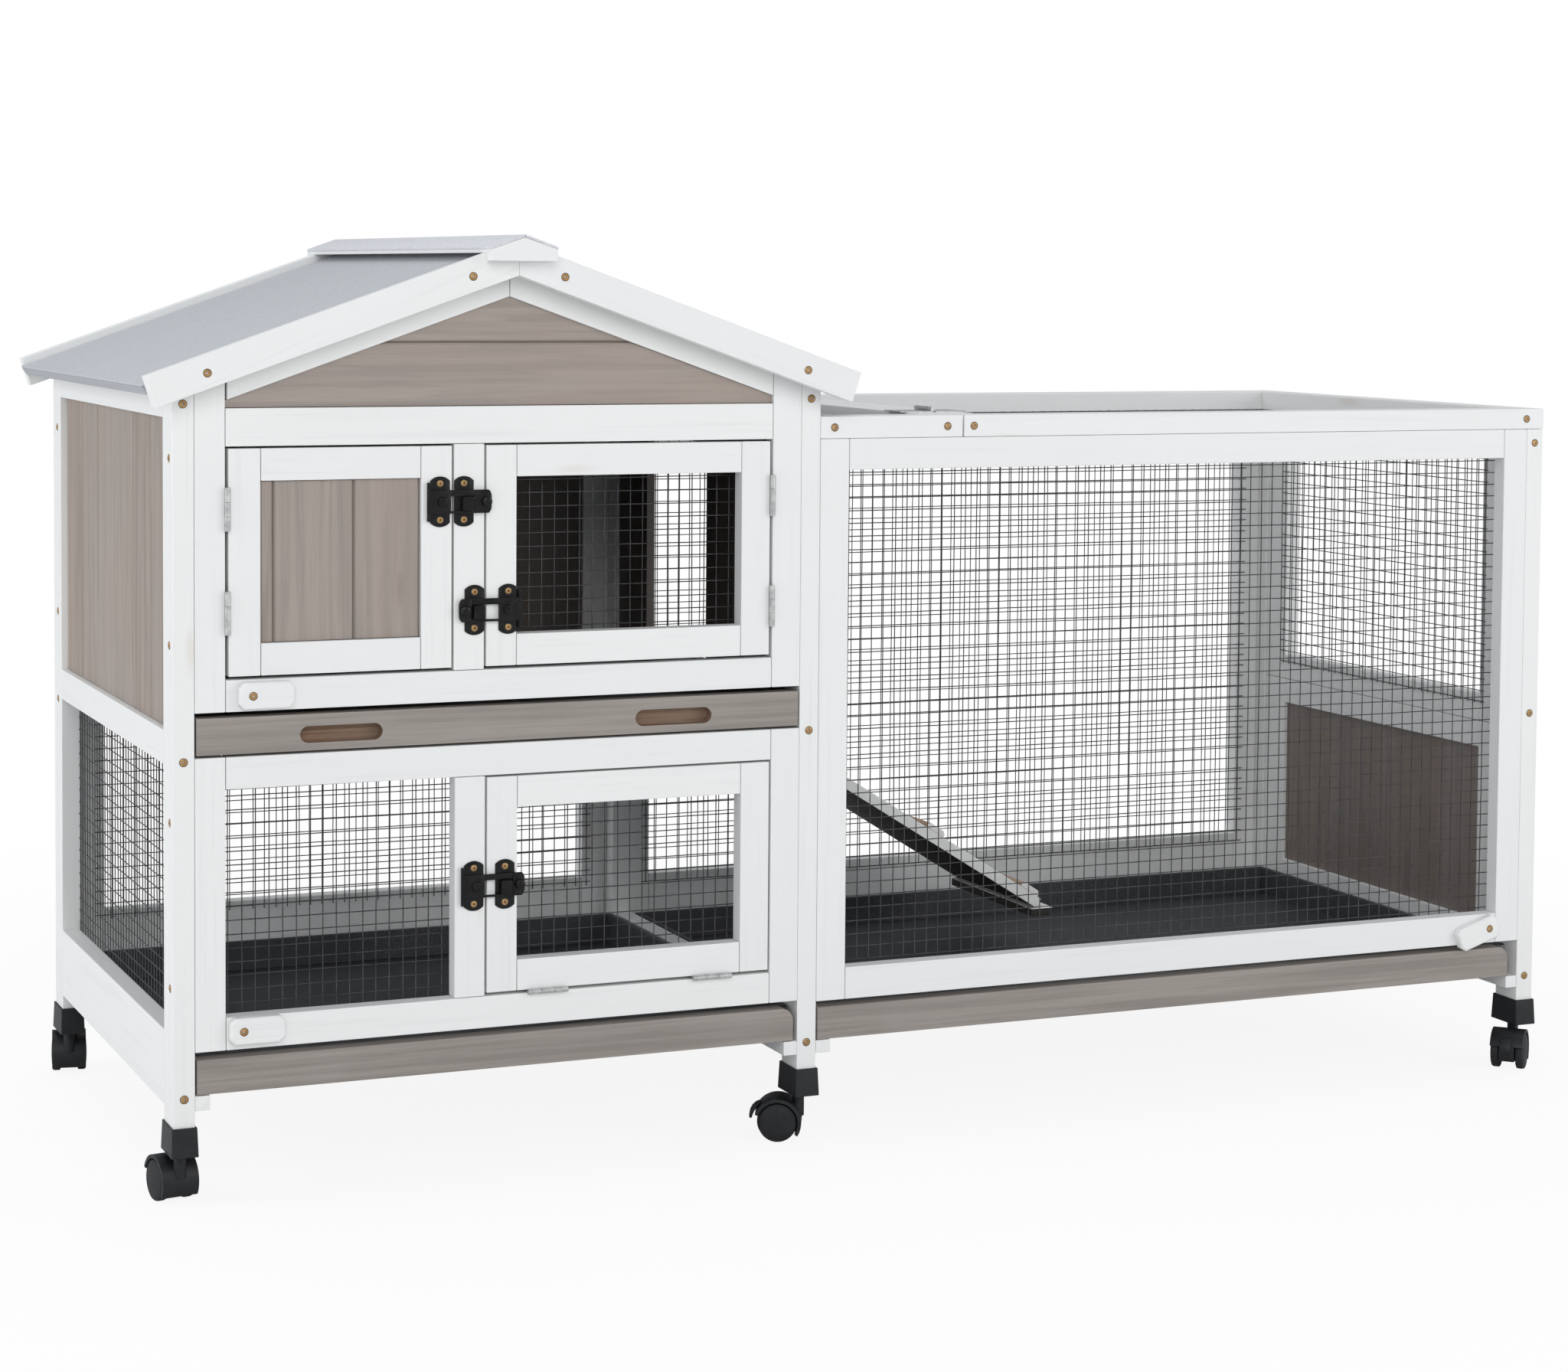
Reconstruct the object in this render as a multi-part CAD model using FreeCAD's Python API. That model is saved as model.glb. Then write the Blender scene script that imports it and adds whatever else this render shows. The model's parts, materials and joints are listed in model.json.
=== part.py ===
import FreeCAD, Part
import math
import os

os.makedirs("parts", exist_ok=True)

# A two-storey rabbit hutch with a wire run beside it, on six swivel castors.
# Lengths are in millimetres. X runs along the hutch and the run, Y from front
# to back, Z up. Heights are measured from the rims of the six leg sockets.

# Posts and the ground plan
post_width = 20.0
post_depth = 38.0
body_depth = 560.0
hutch_width = 634.0
run_length = 846.0
frame_thickness = 18.0
run_top = 617.0

# Clearances
running_gap = 0.3
swing_gap = 1.5
hinge_gap = 2.5
cut_overrun = 1.0

# Leg sockets and the bores for the castor stems
socket_top_width = 23.0
socket_top_depth = 42.0
socket_foot_width = 25.0
socket_foot_depth = 45.0
socket_height = 27.0
socket_cup_depth = 20.0
stem_bore_radius = 4.06
stem_bore_height = 32.0

# Roof
roof_slope = math.radians(19.5)
eave_reach = 31.0
eave_height = 681.5
deck_thickness = 15.6
felt_thickness = 2.4
barge_width = 27.6
barge_thickness = 14.0
barge_reach = 28.0
rake_width = 30.0
cap_width = 64.0
cap_thickness = 3.6
cap_end_height = 11.0
cap_end_thickness = 17.0

# Front of the hutch
left_stile_width = 28.5
right_stile_width = 30.0
mullion_offset = 54.0
mullion_width = 30.0
centre_stile_offset = 52.5
centre_stile_width = 30.0
sill_base = 67.5
sill_height = 30.5
middle_rail_base = 306.0
middle_rail_height = 30.0
upper_rail_base = 376.5
upper_rail_height = 29.5
head_rail_base = 617.0
head_rail_height = 35.0
gable_thickness = 10.0
gable_recess = 4.0
low_gable_board_height = 59.0

# Sides, divider and back of the hutch
side_rail_height = 31.0
floor_rail_base = 327.0
floor_rail_height = 31.7
side_board_base = 14.0
side_board_height = 69.5
back_board_height = 84.0
board_thickness = 10.0
board_recess = 6.6
board_bevel = 2.0
plank_pitch = 86.0
cross_rail_height = 46.0
divider_recess = 4.0
doorway_rear_gap = 124.0
doorway_width = 174.0
doorway_sill = 372.0
doorway_height = 228.0

# Run
run_left_stile_width = 31.0
run_right_stile_width = 29.0
run_sill_base = 65.0
run_sill_height = 32.0
run_head_height = 31.0
end_stile_width = 43.0
end_sill_height = 60.0
end_seam_height = 293.0
end_rail_height = 29.0
top_thickness = 21.5
top_rail_width = 36.0
top_bar_width = 30.0
fixed_top_length = 154.0
lid_gap = 1.0
lid_overlap = 1.0

# Doors
door_stile_width = 30.0
door_gap_below = 2.5
slat_pitch = 75.0
slat_start = 42.5

# Welded wire. The shown pitch is a whole number of wire squares.
wire_square = 12.7
shown_square_count = 8
wire_thickness = 1.2
wire_width = 2.4
wire_lap = 10.0

# Trays
tray_board_gap = 1.5
low_board_height = 32.5
hutch_tray_base = 28.5
run_tray_base = 27.0
upper_board_height = 34.0
upper_tray_gap = 2.0
tray_side_gap = 4.0
tray_rear_gap = 45.0
tray_wall = 1.6
tray_rim_drop = 1.0
tray_lip = 5.0
tray_taper_width = 3.0
slot_length = 78.0
slot_height = 16.0
slot_depth = 12.0
left_slot_inset = 136.0
right_slot_inset = 131.0
slot_drop = 2.0
board_corner_radius = 12.0
runner_width = 16.0
runner_height = 14.0

# Ramp
ramp_rear_gap = 112.0
ramp_width = 198.0
ramp_base_length = 379.0
ramp_height = 237.0
ramp_top = 333.0
ramp_thickness = 11.5
ramp_foot_length = 30.0
ramp_foot_height = 9.0
cleat_length = 25.0
cleat_height = 6.0
cleat_bevel = 3.0
cleat_start = 145.0
cleat_foot_gap = 5.0
cleat_count = 3

# Hinges
leaf_thickness = 1.0
leaf_depth = 17.0
lid_leaf_depth = 36.0
knuckle_radius = 2.6
knuckle_offset = 3.0
hinge_length = 39.5
left_hinge_heights = (541.0, 447.0)
right_hinge_heights = (543.5, 436.5)
drop_hinge_inset = 40.0
lid_hinge_inset = 70.0

# Hasp latches
plate_width = 19.0
plate_height = 47.0
plate_thickness = 1.2
plate_end_radius = 13.0
plate_inset = 1.5
pin_offset = 2.6
barrel_radius = 2.0
bar_length = 60.0
bar_height = 21.8
bar_thickness = 1.6
bar_rise = 3.0
lug_height = 6.8
window_start = 20.5
window_length = 27.5
window_height = 17.0
tongue_length = 11.0
tongue_height = 14.8
tongue_rise = 8.0
knob_radius = 4.5
knob_rise = 6.4
rivet_radius = 2.2
rivet_rise = 0.9
rivet_place = 14.5
left_latch_offset = 24.5
left_latch_height = 563.5
left_keeper_reach = 24.5
left_tongue_reach = 31.0
right_latch_offset = 34.0
right_latch_height = 462.0
right_keeper_reach = 34.5
right_tongue_reach = 35.5
low_latch_offset = 7.5
low_latch_height = 203.0
low_keeper_reach = 32.0
low_tongue_reach = 36.0

# Turn buttons
button_width = 25.5
button_length = 52.0
button_thickness = 9.0
button_corner_cut = 5.0
button_bevel = 1.6
upper_button_offset = 23.2
upper_button_height = 391.5
low_button_offset = 14.4
low_button_height = 85.5
run_button_offset = 13.5
run_button_height = 82.5
run_button_tilt = math.radians(18.0)

# Castors
castor_trail = 20.0
wheel_radius = 19.0
wheel_drop = 55.0
wheel_inner_face = 8.9
wheel_width = 9.4
axle_radius = 3.0
axle_bore_radius = 3.05
hood_inner_radius = 20.2
hood_outer_radius = 23.5
hood_half_width = 17.5
hood_low_angle = math.radians(213.0)
hood_high_angle = math.radians(20.0)
web_half_width = 8.0
web_cut_drop = 9.0
boss_radius = 5.75
boss_depth = 23.0
boss_gap = 0.3
stem_radius = 4.0
stem_length = 30.0
lever_barrel_radius = 2.0
lever_angle = math.radians(14.0)
lever_length = 13.0
lever_drop = 3.0
lever_thickness = 3.0

# Derived places
hutch_middle = hutch_width / 2
total_length = hutch_width + run_length
rear = body_depth
inner_left = post_width
inner_right = hutch_width - post_width
run_left = hutch_width
run_right = total_length - post_width
rise = math.tan(roof_slope)
stretch = math.cos(roof_slope)
roof_thickness = deck_thickness + felt_thickness
upper_tray_base = middle_rail_base + middle_rail_height + upper_tray_gap
left_stile_edge = inner_left + left_stile_width
right_stile_edge = inner_right - right_stile_width
mullion_left = hutch_middle - mullion_offset
mullion_right = mullion_left + mullion_width
centre_stile_left = hutch_middle - centre_stile_offset
centre_stile_right = centre_stile_left + centre_stile_width
sill_top = sill_base + sill_height
upper_rail_top = upper_rail_base + upper_rail_height
head_top = head_rail_base + head_rail_height
gable_seam_height = head_top + low_gable_board_height
floor_rail_top = floor_rail_base + floor_rail_height
run_sill_top = run_sill_base + run_sill_height
run_head_base = run_top - run_head_height
lid_left = run_left + fixed_top_length + lid_gap
lid_right = total_length + lid_overlap
top_face = run_top + top_thickness
tray_rear = rear - tray_rear_gap
ramp_rear = rear - ramp_rear_gap
ramp_front = ramp_rear - ramp_width
doorway_rear = rear - doorway_rear_gap
doorway_front = doorway_rear - doorway_width
lid_hinge_places = (lid_hinge_inset, rear - lid_hinge_inset - hinge_length)
left_latch_place = mullion_left - left_latch_offset
right_latch_place = mullion_right + right_latch_offset
low_latch_place = centre_stile_left + low_latch_offset
upper_button_place = left_stile_edge + upper_button_offset
low_button_place = left_stile_edge + low_button_offset
run_button_place = run_right - run_right_stile_width - run_button_offset


def roof_line(x):
    """Height of the felt's top above a place along X."""
    from_eave = min(x, hutch_width - x) + eave_reach
    return eave_height + from_eave * rise


def roof_under(x):
    """Height of the roof deck's underside above a place along X."""
    return roof_line(x) - roof_thickness / stretch


side_head_top = roof_under(0)
side_head_base = side_head_top - side_rail_height


def box(x0, x1, y0, y1, z0, z1):
    return Part.makeBox(x1 - x0, y1 - y0, z1 - z0, FreeCAD.Vector(x0, y0, z0))


def prism_y(points, y0, y1):
    corners = [FreeCAD.Vector(x, y0, z) for x, z in points]
    face = Part.Face(Part.makePolygon(corners + [corners[0]]))
    return face.extrude(FreeCAD.Vector(0, y1 - y0, 0))


def prism_z(points, z0, z1):
    corners = [FreeCAD.Vector(x, y, z0) for x, y in points]
    face = Part.Face(Part.makePolygon(corners + [corners[0]]))
    return face.extrude(FreeCAD.Vector(0, 0, z1 - z0))


def mirror_hutch(shape):
    """The same piece on the other side of the hutch's middle plane."""
    middle = FreeCAD.Vector(hutch_middle, 0, 0)
    return shape.mirror(middle, FreeCAD.Vector(1, 0, 0))


def mirror_depth(shape):
    """The same piece on the other side of the plane halfway to the back."""
    middle = FreeCAD.Vector(0, body_depth / 2, 0)
    return shape.mirror(middle, FreeCAD.Vector(0, 1, 0))


def board_section(a0, a1, back, front):
    """Outline of a board with its two shown edges bevelled."""
    bevel = math.copysign(board_bevel, front - back)
    side = board_bevel
    return [
        (a0, back),
        (a1, back),
        (a1, front - bevel),
        (a1 - side, front),
        (a0 + side, front),
        (a0, front - bevel),
    ]


def plank_edges(start, stop, pitch):
    """Seams of a row of planks that fill a width."""
    count = max(1, round((stop - start) / pitch))
    return [start + (stop - start) * i / count for i in range(count + 1)]


def planks_along_y(y0, y1, z0, z1, back, front):
    """Upright planks side by side along Y, facing along X."""
    edges = plank_edges(y0, y1, plank_pitch)
    boards = []
    for a, b in zip(edges, edges[1:]):
        outline = [(x, y) for y, x in board_section(a, b, back, front)]
        boards.append(prism_z(outline, z0, z1))
    return boards


def planks_along_x(edges, z0, z1, back, front):
    """Upright planks side by side along X, facing along Y."""
    boards = []
    for a, b in zip(edges, edges[1:]):
        boards.append(prism_z(board_section(a, b, back, front), z0, z1))
    return boards


def net(u0, u1, v0, v1):
    """A flat sheet of square holes in the XY plane."""
    pitch = wire_square * shown_square_count
    across = max(1, round((u1 - u0) / pitch))
    along = max(1, round((v1 - v0) / pitch))
    step_u = (u1 - u0 - wire_width) / across
    step_v = (v1 - v0 - wire_width) / along
    loops = [rectangle(u0, u1, v0, v1)]
    for i in range(across):
        for k in range(along):
            left = u0 + wire_width + i * step_u
            low = v0 + wire_width + k * step_v
            right = left + step_u - wire_width
            high = low + step_v - wire_width
            loops.append(rectangle(left, right, low, high))
    face = Part.makeFace(loops, "Part::FaceMakerBullseye")
    return face.extrude(FreeCAD.Vector(0, 0, wire_thickness))


def rectangle(u0, u1, v0, v1):
    corners = [(u0, v0), (u1, v0), (u1, v1), (u0, v1), (u0, v0)]
    return Part.makePolygon([FreeCAD.Vector(u, v, 0) for u, v in corners])


def net_facing_y(x0, x1, z0, z1, y0):
    sheet = net(x0, x1, z0, z1)
    sheet.rotate(FreeCAD.Vector(0, 0, 0), FreeCAD.Vector(1, 0, 0), 90)
    sheet.translate(FreeCAD.Vector(0, y0 + wire_thickness, 0))
    return sheet


def net_facing_x(y0, y1, z0, z1, x0):
    sheet = net(y0, y1, z0, z1)
    turn = FreeCAD.Matrix(0, 0, 1, 0, 1, 0, 0, 0, 0, 1, 0, 0, 0, 0, 0, 1)
    sheet = sheet.transformGeometry(turn)
    sheet.translate(FreeCAD.Vector(x0, 0, 0))
    return sheet


def net_facing_z(x0, x1, y0, y1, z0):
    sheet = net(x0, x1, y0, y1)
    sheet.translate(FreeCAD.Vector(0, 0, z0))
    return sheet


def frame_facing_y(x0, x1, z0, z1, y0, y1, left, right, low, high):
    """Two stiles with two rails butted between them."""
    return [
        box(x0, x0 + left, y0, y1, z0, z1),
        box(x1 - right, x1, y0, y1, z0, z1),
        box(x0 + left, x1 - right, y0, y1, z0, z0 + low),
        box(x0 + left, x1 - right, y0, y1, z1 - high, z1),
    ]


# Posts and sockets

def post_corners():
    """Left edge, front edge and whether the post carries the roof."""
    corners = []
    for y in (0, body_depth - post_depth):
        corners.append((0, y, True))
        corners.append((inner_right, y, True))
        corners.append((run_right, y, False))
    return corners


def stem_bore(x, y):
    base = FreeCAD.Vector(x, y, -socket_height - cut_overrun)
    return Part.makeCylinder(stem_bore_radius, stem_bore_height + cut_overrun, base)


def make_posts():
    posts = []
    for x, y, tall in post_corners():
        right = x + post_width
        if tall:
            outline = [
                (x, -socket_cup_depth),
                (right, -socket_cup_depth),
                (right, roof_under(right)),
                (x, roof_under(x)),
            ]
            post = prism_y(outline, y, y + post_depth)
        else:
            post = box(x, right, y, y + post_depth, -socket_cup_depth, run_top)
        posts.append(post.cut(stem_bore(x + post_width / 2, y + post_depth / 2)))
    return posts


def socket_outline(x, y, width, depth, z):
    corners = [(-1, -1), (1, -1), (1, 1), (-1, 1), (-1, -1)]
    points = [FreeCAD.Vector(x + a * width / 2, y + b * depth / 2, z) for a, b in corners]
    return Part.makePolygon(points)


def make_sockets():
    sockets = []
    for left, front, _ in post_corners():
        x = left + post_width / 2
        y = front + post_depth / 2
        foot = socket_outline(x, y, socket_foot_width, socket_foot_depth, -socket_height)
        rim = socket_outline(x, y, socket_top_width, socket_top_depth, 0)
        cup = Part.makeLoft([foot, rim], True, True)
        hollow = box(
            left,
            left + post_width,
            front,
            front + post_depth,
            -socket_cup_depth,
            cut_overrun,
        )
        sockets.append(cup.cut(hollow).cut(stem_bore(x, y)))
    return sockets


# Hutch front and back

def rake_rails(y0, y1):
    """Sloping rails under the roof, on top of the head rail."""
    drop = rake_width / stretch
    meet = (head_top + drop - roof_under(0)) / rise
    outline = [
        (inner_left, head_top),
        (meet, head_top),
        (hutch_middle, roof_under(hutch_middle) - drop),
        (hutch_middle, roof_under(hutch_middle)),
        (inner_left, roof_under(inner_left)),
    ]
    left = prism_y(outline, y0, y1)
    return [left, mirror_hutch(left)]


def gable_pieces(back, front):
    """Two level boards that fill the triangle under the rake rails."""
    drop = rake_width / stretch
    low_meet = (head_top + drop - roof_under(0)) / rise
    high_meet = (gable_seam_height + drop - roof_under(0)) / rise
    apex = roof_under(hutch_middle) - drop
    inset = math.copysign(board_bevel, front - back)
    shelf = front - inset
    low = [
        (low_meet, head_top),
        (hutch_width - low_meet, head_top),
        (hutch_width - high_meet, gable_seam_height),
        (high_meet, gable_seam_height),
    ]
    shy = board_bevel / rise
    low_face = [
        (low_meet, head_top),
        (hutch_width - low_meet, head_top),
        (hutch_width - high_meet + shy, gable_seam_height - board_bevel),
        (high_meet - shy, gable_seam_height - board_bevel),
    ]
    high = [
        (high_meet, gable_seam_height),
        (hutch_width - high_meet, gable_seam_height),
        (hutch_middle, apex),
    ]
    high_face = [
        (high_meet + shy, gable_seam_height + board_bevel),
        (hutch_width - high_meet - shy, gable_seam_height + board_bevel),
        (hutch_middle, apex),
    ]
    lower = prism_y(low, back, shelf).fuse(prism_y(low_face, shelf, front))
    upper = prism_y(high, back, shelf).fuse(prism_y(high_face, shelf, front))
    return [lower, upper]


def make_front_frame():
    y0, y1 = 0, frame_thickness
    middle_top = middle_rail_base + middle_rail_height
    pieces = frame_facing_y(
        inner_left, inner_right, upper_rail_base, head_top, y0, y1,
        left_stile_width, right_stile_width, upper_rail_height, head_rail_height,
    )
    pieces.append(box(mullion_left, mullion_right, y0, y1, upper_rail_top, head_rail_base))
    pieces += frame_facing_y(
        inner_left, inner_right, sill_base, middle_top, y0, y1,
        left_stile_width, right_stile_width, sill_height, middle_rail_height,
    )
    pieces.append(
        box(centre_stile_left, centre_stile_right, y0, y1, sill_top, middle_rail_base)
    )
    return pieces + rake_rails(y0, y1)


def make_back_frame():
    y0, y1 = rear - frame_thickness, rear
    pieces = frame_facing_y(
        inner_left, inner_right, side_board_base, head_top, y0, y1,
        left_stile_width, right_stile_width, back_board_height, head_rail_height,
    )
    pieces.append(
        box(left_stile_edge, right_stile_edge, y0, y1, floor_rail_base, floor_rail_top)
    )
    return pieces + rake_rails(y0, y1)


def make_back_boards():
    front = rear - gable_recess
    back = front - gable_thickness
    edges = plank_edges(left_stile_edge, right_stile_edge, plank_pitch)
    return planks_along_x(edges, floor_rail_top, head_rail_base, back, front)


def make_gable_boards():
    back = gable_recess + gable_thickness
    front_pieces = gable_pieces(back, gable_recess)
    rear_pieces = gable_pieces(rear - back, rear - gable_recess)
    return front_pieces + rear_pieces


# Hutch sides and the divider between hutch and run

def side_rails(x0, x1, low_base, low_height):
    y0, y1 = post_depth, rear - post_depth
    return [
        box(x0, x1, y0, y1, side_head_base, side_head_top),
        box(x0, x1, y0, y1, floor_rail_base, floor_rail_top),
        box(x0, x1, y0, y1, low_base, low_base + low_height),
    ]


def make_side_frames():
    left = side_rails(0, frame_thickness, side_board_base, side_board_height)
    divider = side_rails(
        hutch_width - frame_thickness, hutch_width, side_board_base, cross_rail_height
    )
    return left + divider


def make_side_boards():
    y0, y1 = post_depth, rear - post_depth
    outer = board_recess
    inner = outer + board_thickness
    boards = planks_along_y(y0, y1, floor_rail_top, side_head_base, inner, outer)
    shown = hutch_width - divider_recess
    hidden = shown - board_thickness
    doorway_top = doorway_sill + doorway_height
    panels = [
        (y0, doorway_front, floor_rail_top, side_head_base),
        (doorway_rear, y1, floor_rail_top, side_head_base),
        (doorway_front, doorway_rear, floor_rail_top, doorway_sill),
        (doorway_front, doorway_rear, doorway_top, side_head_base),
    ]
    for a, b, low, high in panels:
        boards += planks_along_y(a, b, low, high, hidden, shown)
    return boards


# Roof

def slope_point(along, down):
    """A point of the left slope: along it from the eave, and down into it."""
    x = -eave_reach + along * math.cos(roof_slope) + down * math.sin(roof_slope)
    z = eave_height + along * math.sin(roof_slope) - down * math.cos(roof_slope)
    return (x, z)


def slope_end(down):
    """How far along the slope the middle plane lies at this depth."""
    return (hutch_middle + eave_reach - down * math.sin(roof_slope)) / stretch


def slope_slabs(start, top, bottom, y0, y1):
    """A layer of the roof on both slopes, from the eave to the middle."""
    outline = [
        slope_point(start, top),
        slope_point(slope_end(top), top),
        slope_point(slope_end(bottom), bottom),
        slope_point(start, bottom),
    ]
    left = prism_y(outline, y0, y1)
    return [left, mirror_hutch(left)]


def make_roof_panels():
    y0 = -barge_reach + barge_thickness
    return slope_slabs(felt_thickness, felt_thickness, roof_thickness, y0, rear - y0)


def cap_slabs(low, high, y0, y1):
    left_edge = hutch_middle - cap_width / 2
    outline = [
        (left_edge, roof_line(left_edge) + low),
        (hutch_middle, roof_line(hutch_middle) + low),
        (hutch_middle, roof_line(hutch_middle) + high),
        (left_edge, roof_line(left_edge) + high),
    ]
    left = prism_y(outline, y0, y1)
    return [left, mirror_hutch(left)]


def make_roof_felt():
    y0 = -barge_reach
    inner = y0 + barge_thickness
    sheets = slope_slabs(0, 0, felt_thickness, y0, rear - y0)
    fold = [
        slope_point(0, felt_thickness),
        slope_point(felt_thickness, felt_thickness),
        slope_point(felt_thickness, roof_thickness),
        slope_point(0, roof_thickness),
    ]
    left = prism_y(fold, inner, rear - inner)
    cap_front = y0 - cap_end_thickness
    cap_top = cap_thickness + felt_thickness
    cap = cap_slabs(cap_thickness, cap_top, cap_front, rear - cap_front)
    return sheets + [left, mirror_hutch(left)] + cap


def make_barge_boards():
    y0 = -barge_reach
    y1 = y0 + barge_thickness
    front = slope_slabs(0, felt_thickness, felt_thickness + barge_width, y0, y1)
    return front + [mirror_depth(board) for board in front]


def make_ridge_cap():
    left_edge = hutch_middle - cap_width / 2
    right_edge = hutch_middle + cap_width / 2
    side_top = roof_line(left_edge) + cap_thickness
    base = side_top - cap_end_height
    outline = [
        (left_edge, base),
        (right_edge, base),
        (right_edge, side_top),
        (hutch_middle, roof_line(hutch_middle) + cap_thickness),
        (left_edge, side_top),
    ]
    y1 = -barge_reach
    end = prism_y(outline, y1 - cap_end_thickness, y1)
    return cap_slabs(0, cap_thickness, y1, rear - y1) + [end, mirror_depth(end)]


# Run

def make_run_frames():
    y1 = frame_thickness
    front = frame_facing_y(
        run_left, run_right, run_sill_base, run_top, 0, y1,
        run_left_stile_width, run_right_stile_width, run_sill_height, run_head_height,
    )
    back_height = run_sill_top - side_board_base
    back = frame_facing_y(
        run_left, run_right, side_board_base, run_top, rear - y1, rear,
        run_left_stile_width, run_right_stile_width, back_height, run_head_height,
    )
    x1 = run_left + fixed_top_length
    inner_y = rear - top_rail_width
    top = [
        box(run_left, x1, 0, top_rail_width, run_top, top_face),
        box(run_left, x1, inner_y, rear, run_top, top_face),
        box(run_left, run_left + top_bar_width, top_rail_width, inner_y, run_top, top_face),
        box(x1 - top_bar_width, x1, top_rail_width, inner_y, run_top, top_face),
    ]
    return front + back + top


def make_end_frame():
    """A boarded frame below and a wired one above, between the end posts."""
    x0, x1 = total_length - frame_thickness, total_length
    y0, y1 = post_depth, rear - post_depth
    inner0 = y0 + end_stile_width
    inner1 = y1 - end_stile_width
    seam = end_seam_height
    return [
        box(x0, x1, y0, inner0, side_board_base, seam),
        box(x0, x1, inner1, y1, side_board_base, seam),
        box(x0, x1, inner0, inner1, side_board_base, side_board_base + end_sill_height),
        box(x0, x1, inner0, inner1, seam - end_rail_height, seam),
        box(x0, x1, y0, inner0, seam, run_top),
        box(x0, x1, inner1, y1, seam, run_top),
        box(x0, x1, inner0, inner1, seam, seam + end_rail_height),
        box(x0, x1, inner0, inner1, run_head_base, run_top),
    ]


def make_end_boards():
    y0 = post_depth + end_stile_width
    z0 = side_board_base + end_sill_height
    shown = total_length - gable_recess
    hidden = shown - gable_thickness
    return planks_along_y(y0, rear - y0, z0, end_seam_height - end_rail_height, hidden, shown)


def make_fixed_wire():
    lap = wire_lap
    behind_front = frame_thickness
    before_back = rear - frame_thickness - wire_thickness
    runner_top = upper_tray_base - running_gap
    left_lap = left_stile_edge - lap
    right_lap = right_stile_edge + lap
    run_lap_left = run_left + run_left_stile_width - lap
    run_lap_right = run_right - run_right_stile_width + lap
    end_lap = post_depth + end_stile_width - lap
    side_low = side_board_base + side_board_height - lap
    beside_post = post_depth + running_gap
    before_end = total_length - frame_thickness - wire_thickness
    top_lap = frame_thickness + wire_thickness + running_gap
    run_low = run_sill_top - lap
    run_high = run_head_base + lap
    return [
        net_facing_y(
            left_lap, centre_stile_left + lap, sill_top - lap, middle_rail_base + lap,
            behind_front,
        ),
        net_facing_x(
            beside_post, rear - beside_post, side_low, runner_top, frame_thickness,
        ),
        net_facing_y(
            left_lap, right_lap, side_board_base + back_board_height - lap, runner_top,
            before_back,
        ),
        net_facing_y(run_lap_left, run_lap_right, run_low, run_high, behind_front),
        net_facing_y(run_lap_left, run_lap_right, run_low, run_high, before_back),
        net_facing_x(
            end_lap, rear - end_lap, end_seam_height + end_rail_height - lap, run_high,
            before_end,
        ),
        net_facing_z(
            run_left + running_gap, run_left + fixed_top_length - running_gap,
            top_lap, rear - top_lap, run_top - wire_thickness,
        ),
    ]


# Doors

def door_span(side):
    """Left, right, low and high edges of a door."""
    if side == "solid":
        return (
            left_stile_edge + hinge_gap,
            mullion_left - swing_gap,
            upper_rail_top + door_gap_below,
            head_rail_base - swing_gap,
        )
    if side == "mesh":
        return (
            mullion_right + swing_gap,
            right_stile_edge - hinge_gap,
            upper_rail_top + door_gap_below,
            head_rail_base - swing_gap,
        )
    return (
        centre_stile_right + swing_gap,
        right_stile_edge - swing_gap,
        sill_top + hinge_gap,
        middle_rail_base - swing_gap,
    )


def make_door_frame(side):
    x0, x1, z0, z1 = door_span(side)
    width = door_stile_width
    return frame_facing_y(
        x0, x1, z0, z1, 0, frame_thickness, width, width, width, width
    )


def make_door_wire(side):
    x0, x1, z0, z1 = door_span(side)
    inset = door_stile_width - wire_lap
    return [
        net_facing_y(x0 + inset, x1 - inset, z0 + inset, z1 - inset, frame_thickness)
    ]


def make_door_slats():
    """Upright slats in the solid door's frame, cut from wider boards."""
    x0, x1, z0, z1 = door_span("solid")
    left = x0 + door_stile_width
    right = x1 - door_stile_width
    first = x0 + slat_start
    edges = [left, first, first + slat_pitch, right]
    low = z0 + door_stile_width
    high = z1 - door_stile_width
    back = gable_recess + gable_thickness
    return planks_along_x(edges, low, high, back, gable_recess)


# Hinges: each place is an origin with the directions away from the pin,
# across the leaf and along the pin

def placed_box(place, u0, u1, v0, v1, w0, w1):
    origin, away, across, along = place
    low = origin + away * u0 + across * v0 + along * w0
    high = origin + away * u1 + across * v1 + along * w1
    return box(
        min(low.x, high.x), max(low.x, high.x),
        min(low.y, high.y), max(low.y, high.y),
        min(low.z, high.z), max(low.z, high.z),
    )


def placed_pin(place, radius, u, v, w0, w1):
    origin, away, across, along = place
    base = origin + away * u + across * v + along * w0
    return Part.makeCylinder(radius, w1 - w0, base, along)


def hinge_half(place, low, depth, moving):
    """A leaf with its own knuckles; low is the leaf's near side."""
    third = hinge_length / 3
    if moving:
        spans = [(third + running_gap, third * 2 - running_gap)]
    else:
        spans = [(0, third), (third * 2, hinge_length)]
    start = knuckle_radius + running_gap
    high = low + leaf_thickness
    half = placed_box(place, start, depth, low, high, 0, hinge_length)
    for w0, w1 in spans:
        half = half.fuse(placed_box(place, 0, start, low, high, w0, w1))
        half = half.fuse(placed_pin(place, knuckle_radius, 0, 0, w0, w1))
    return half.removeSplitter()


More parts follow.
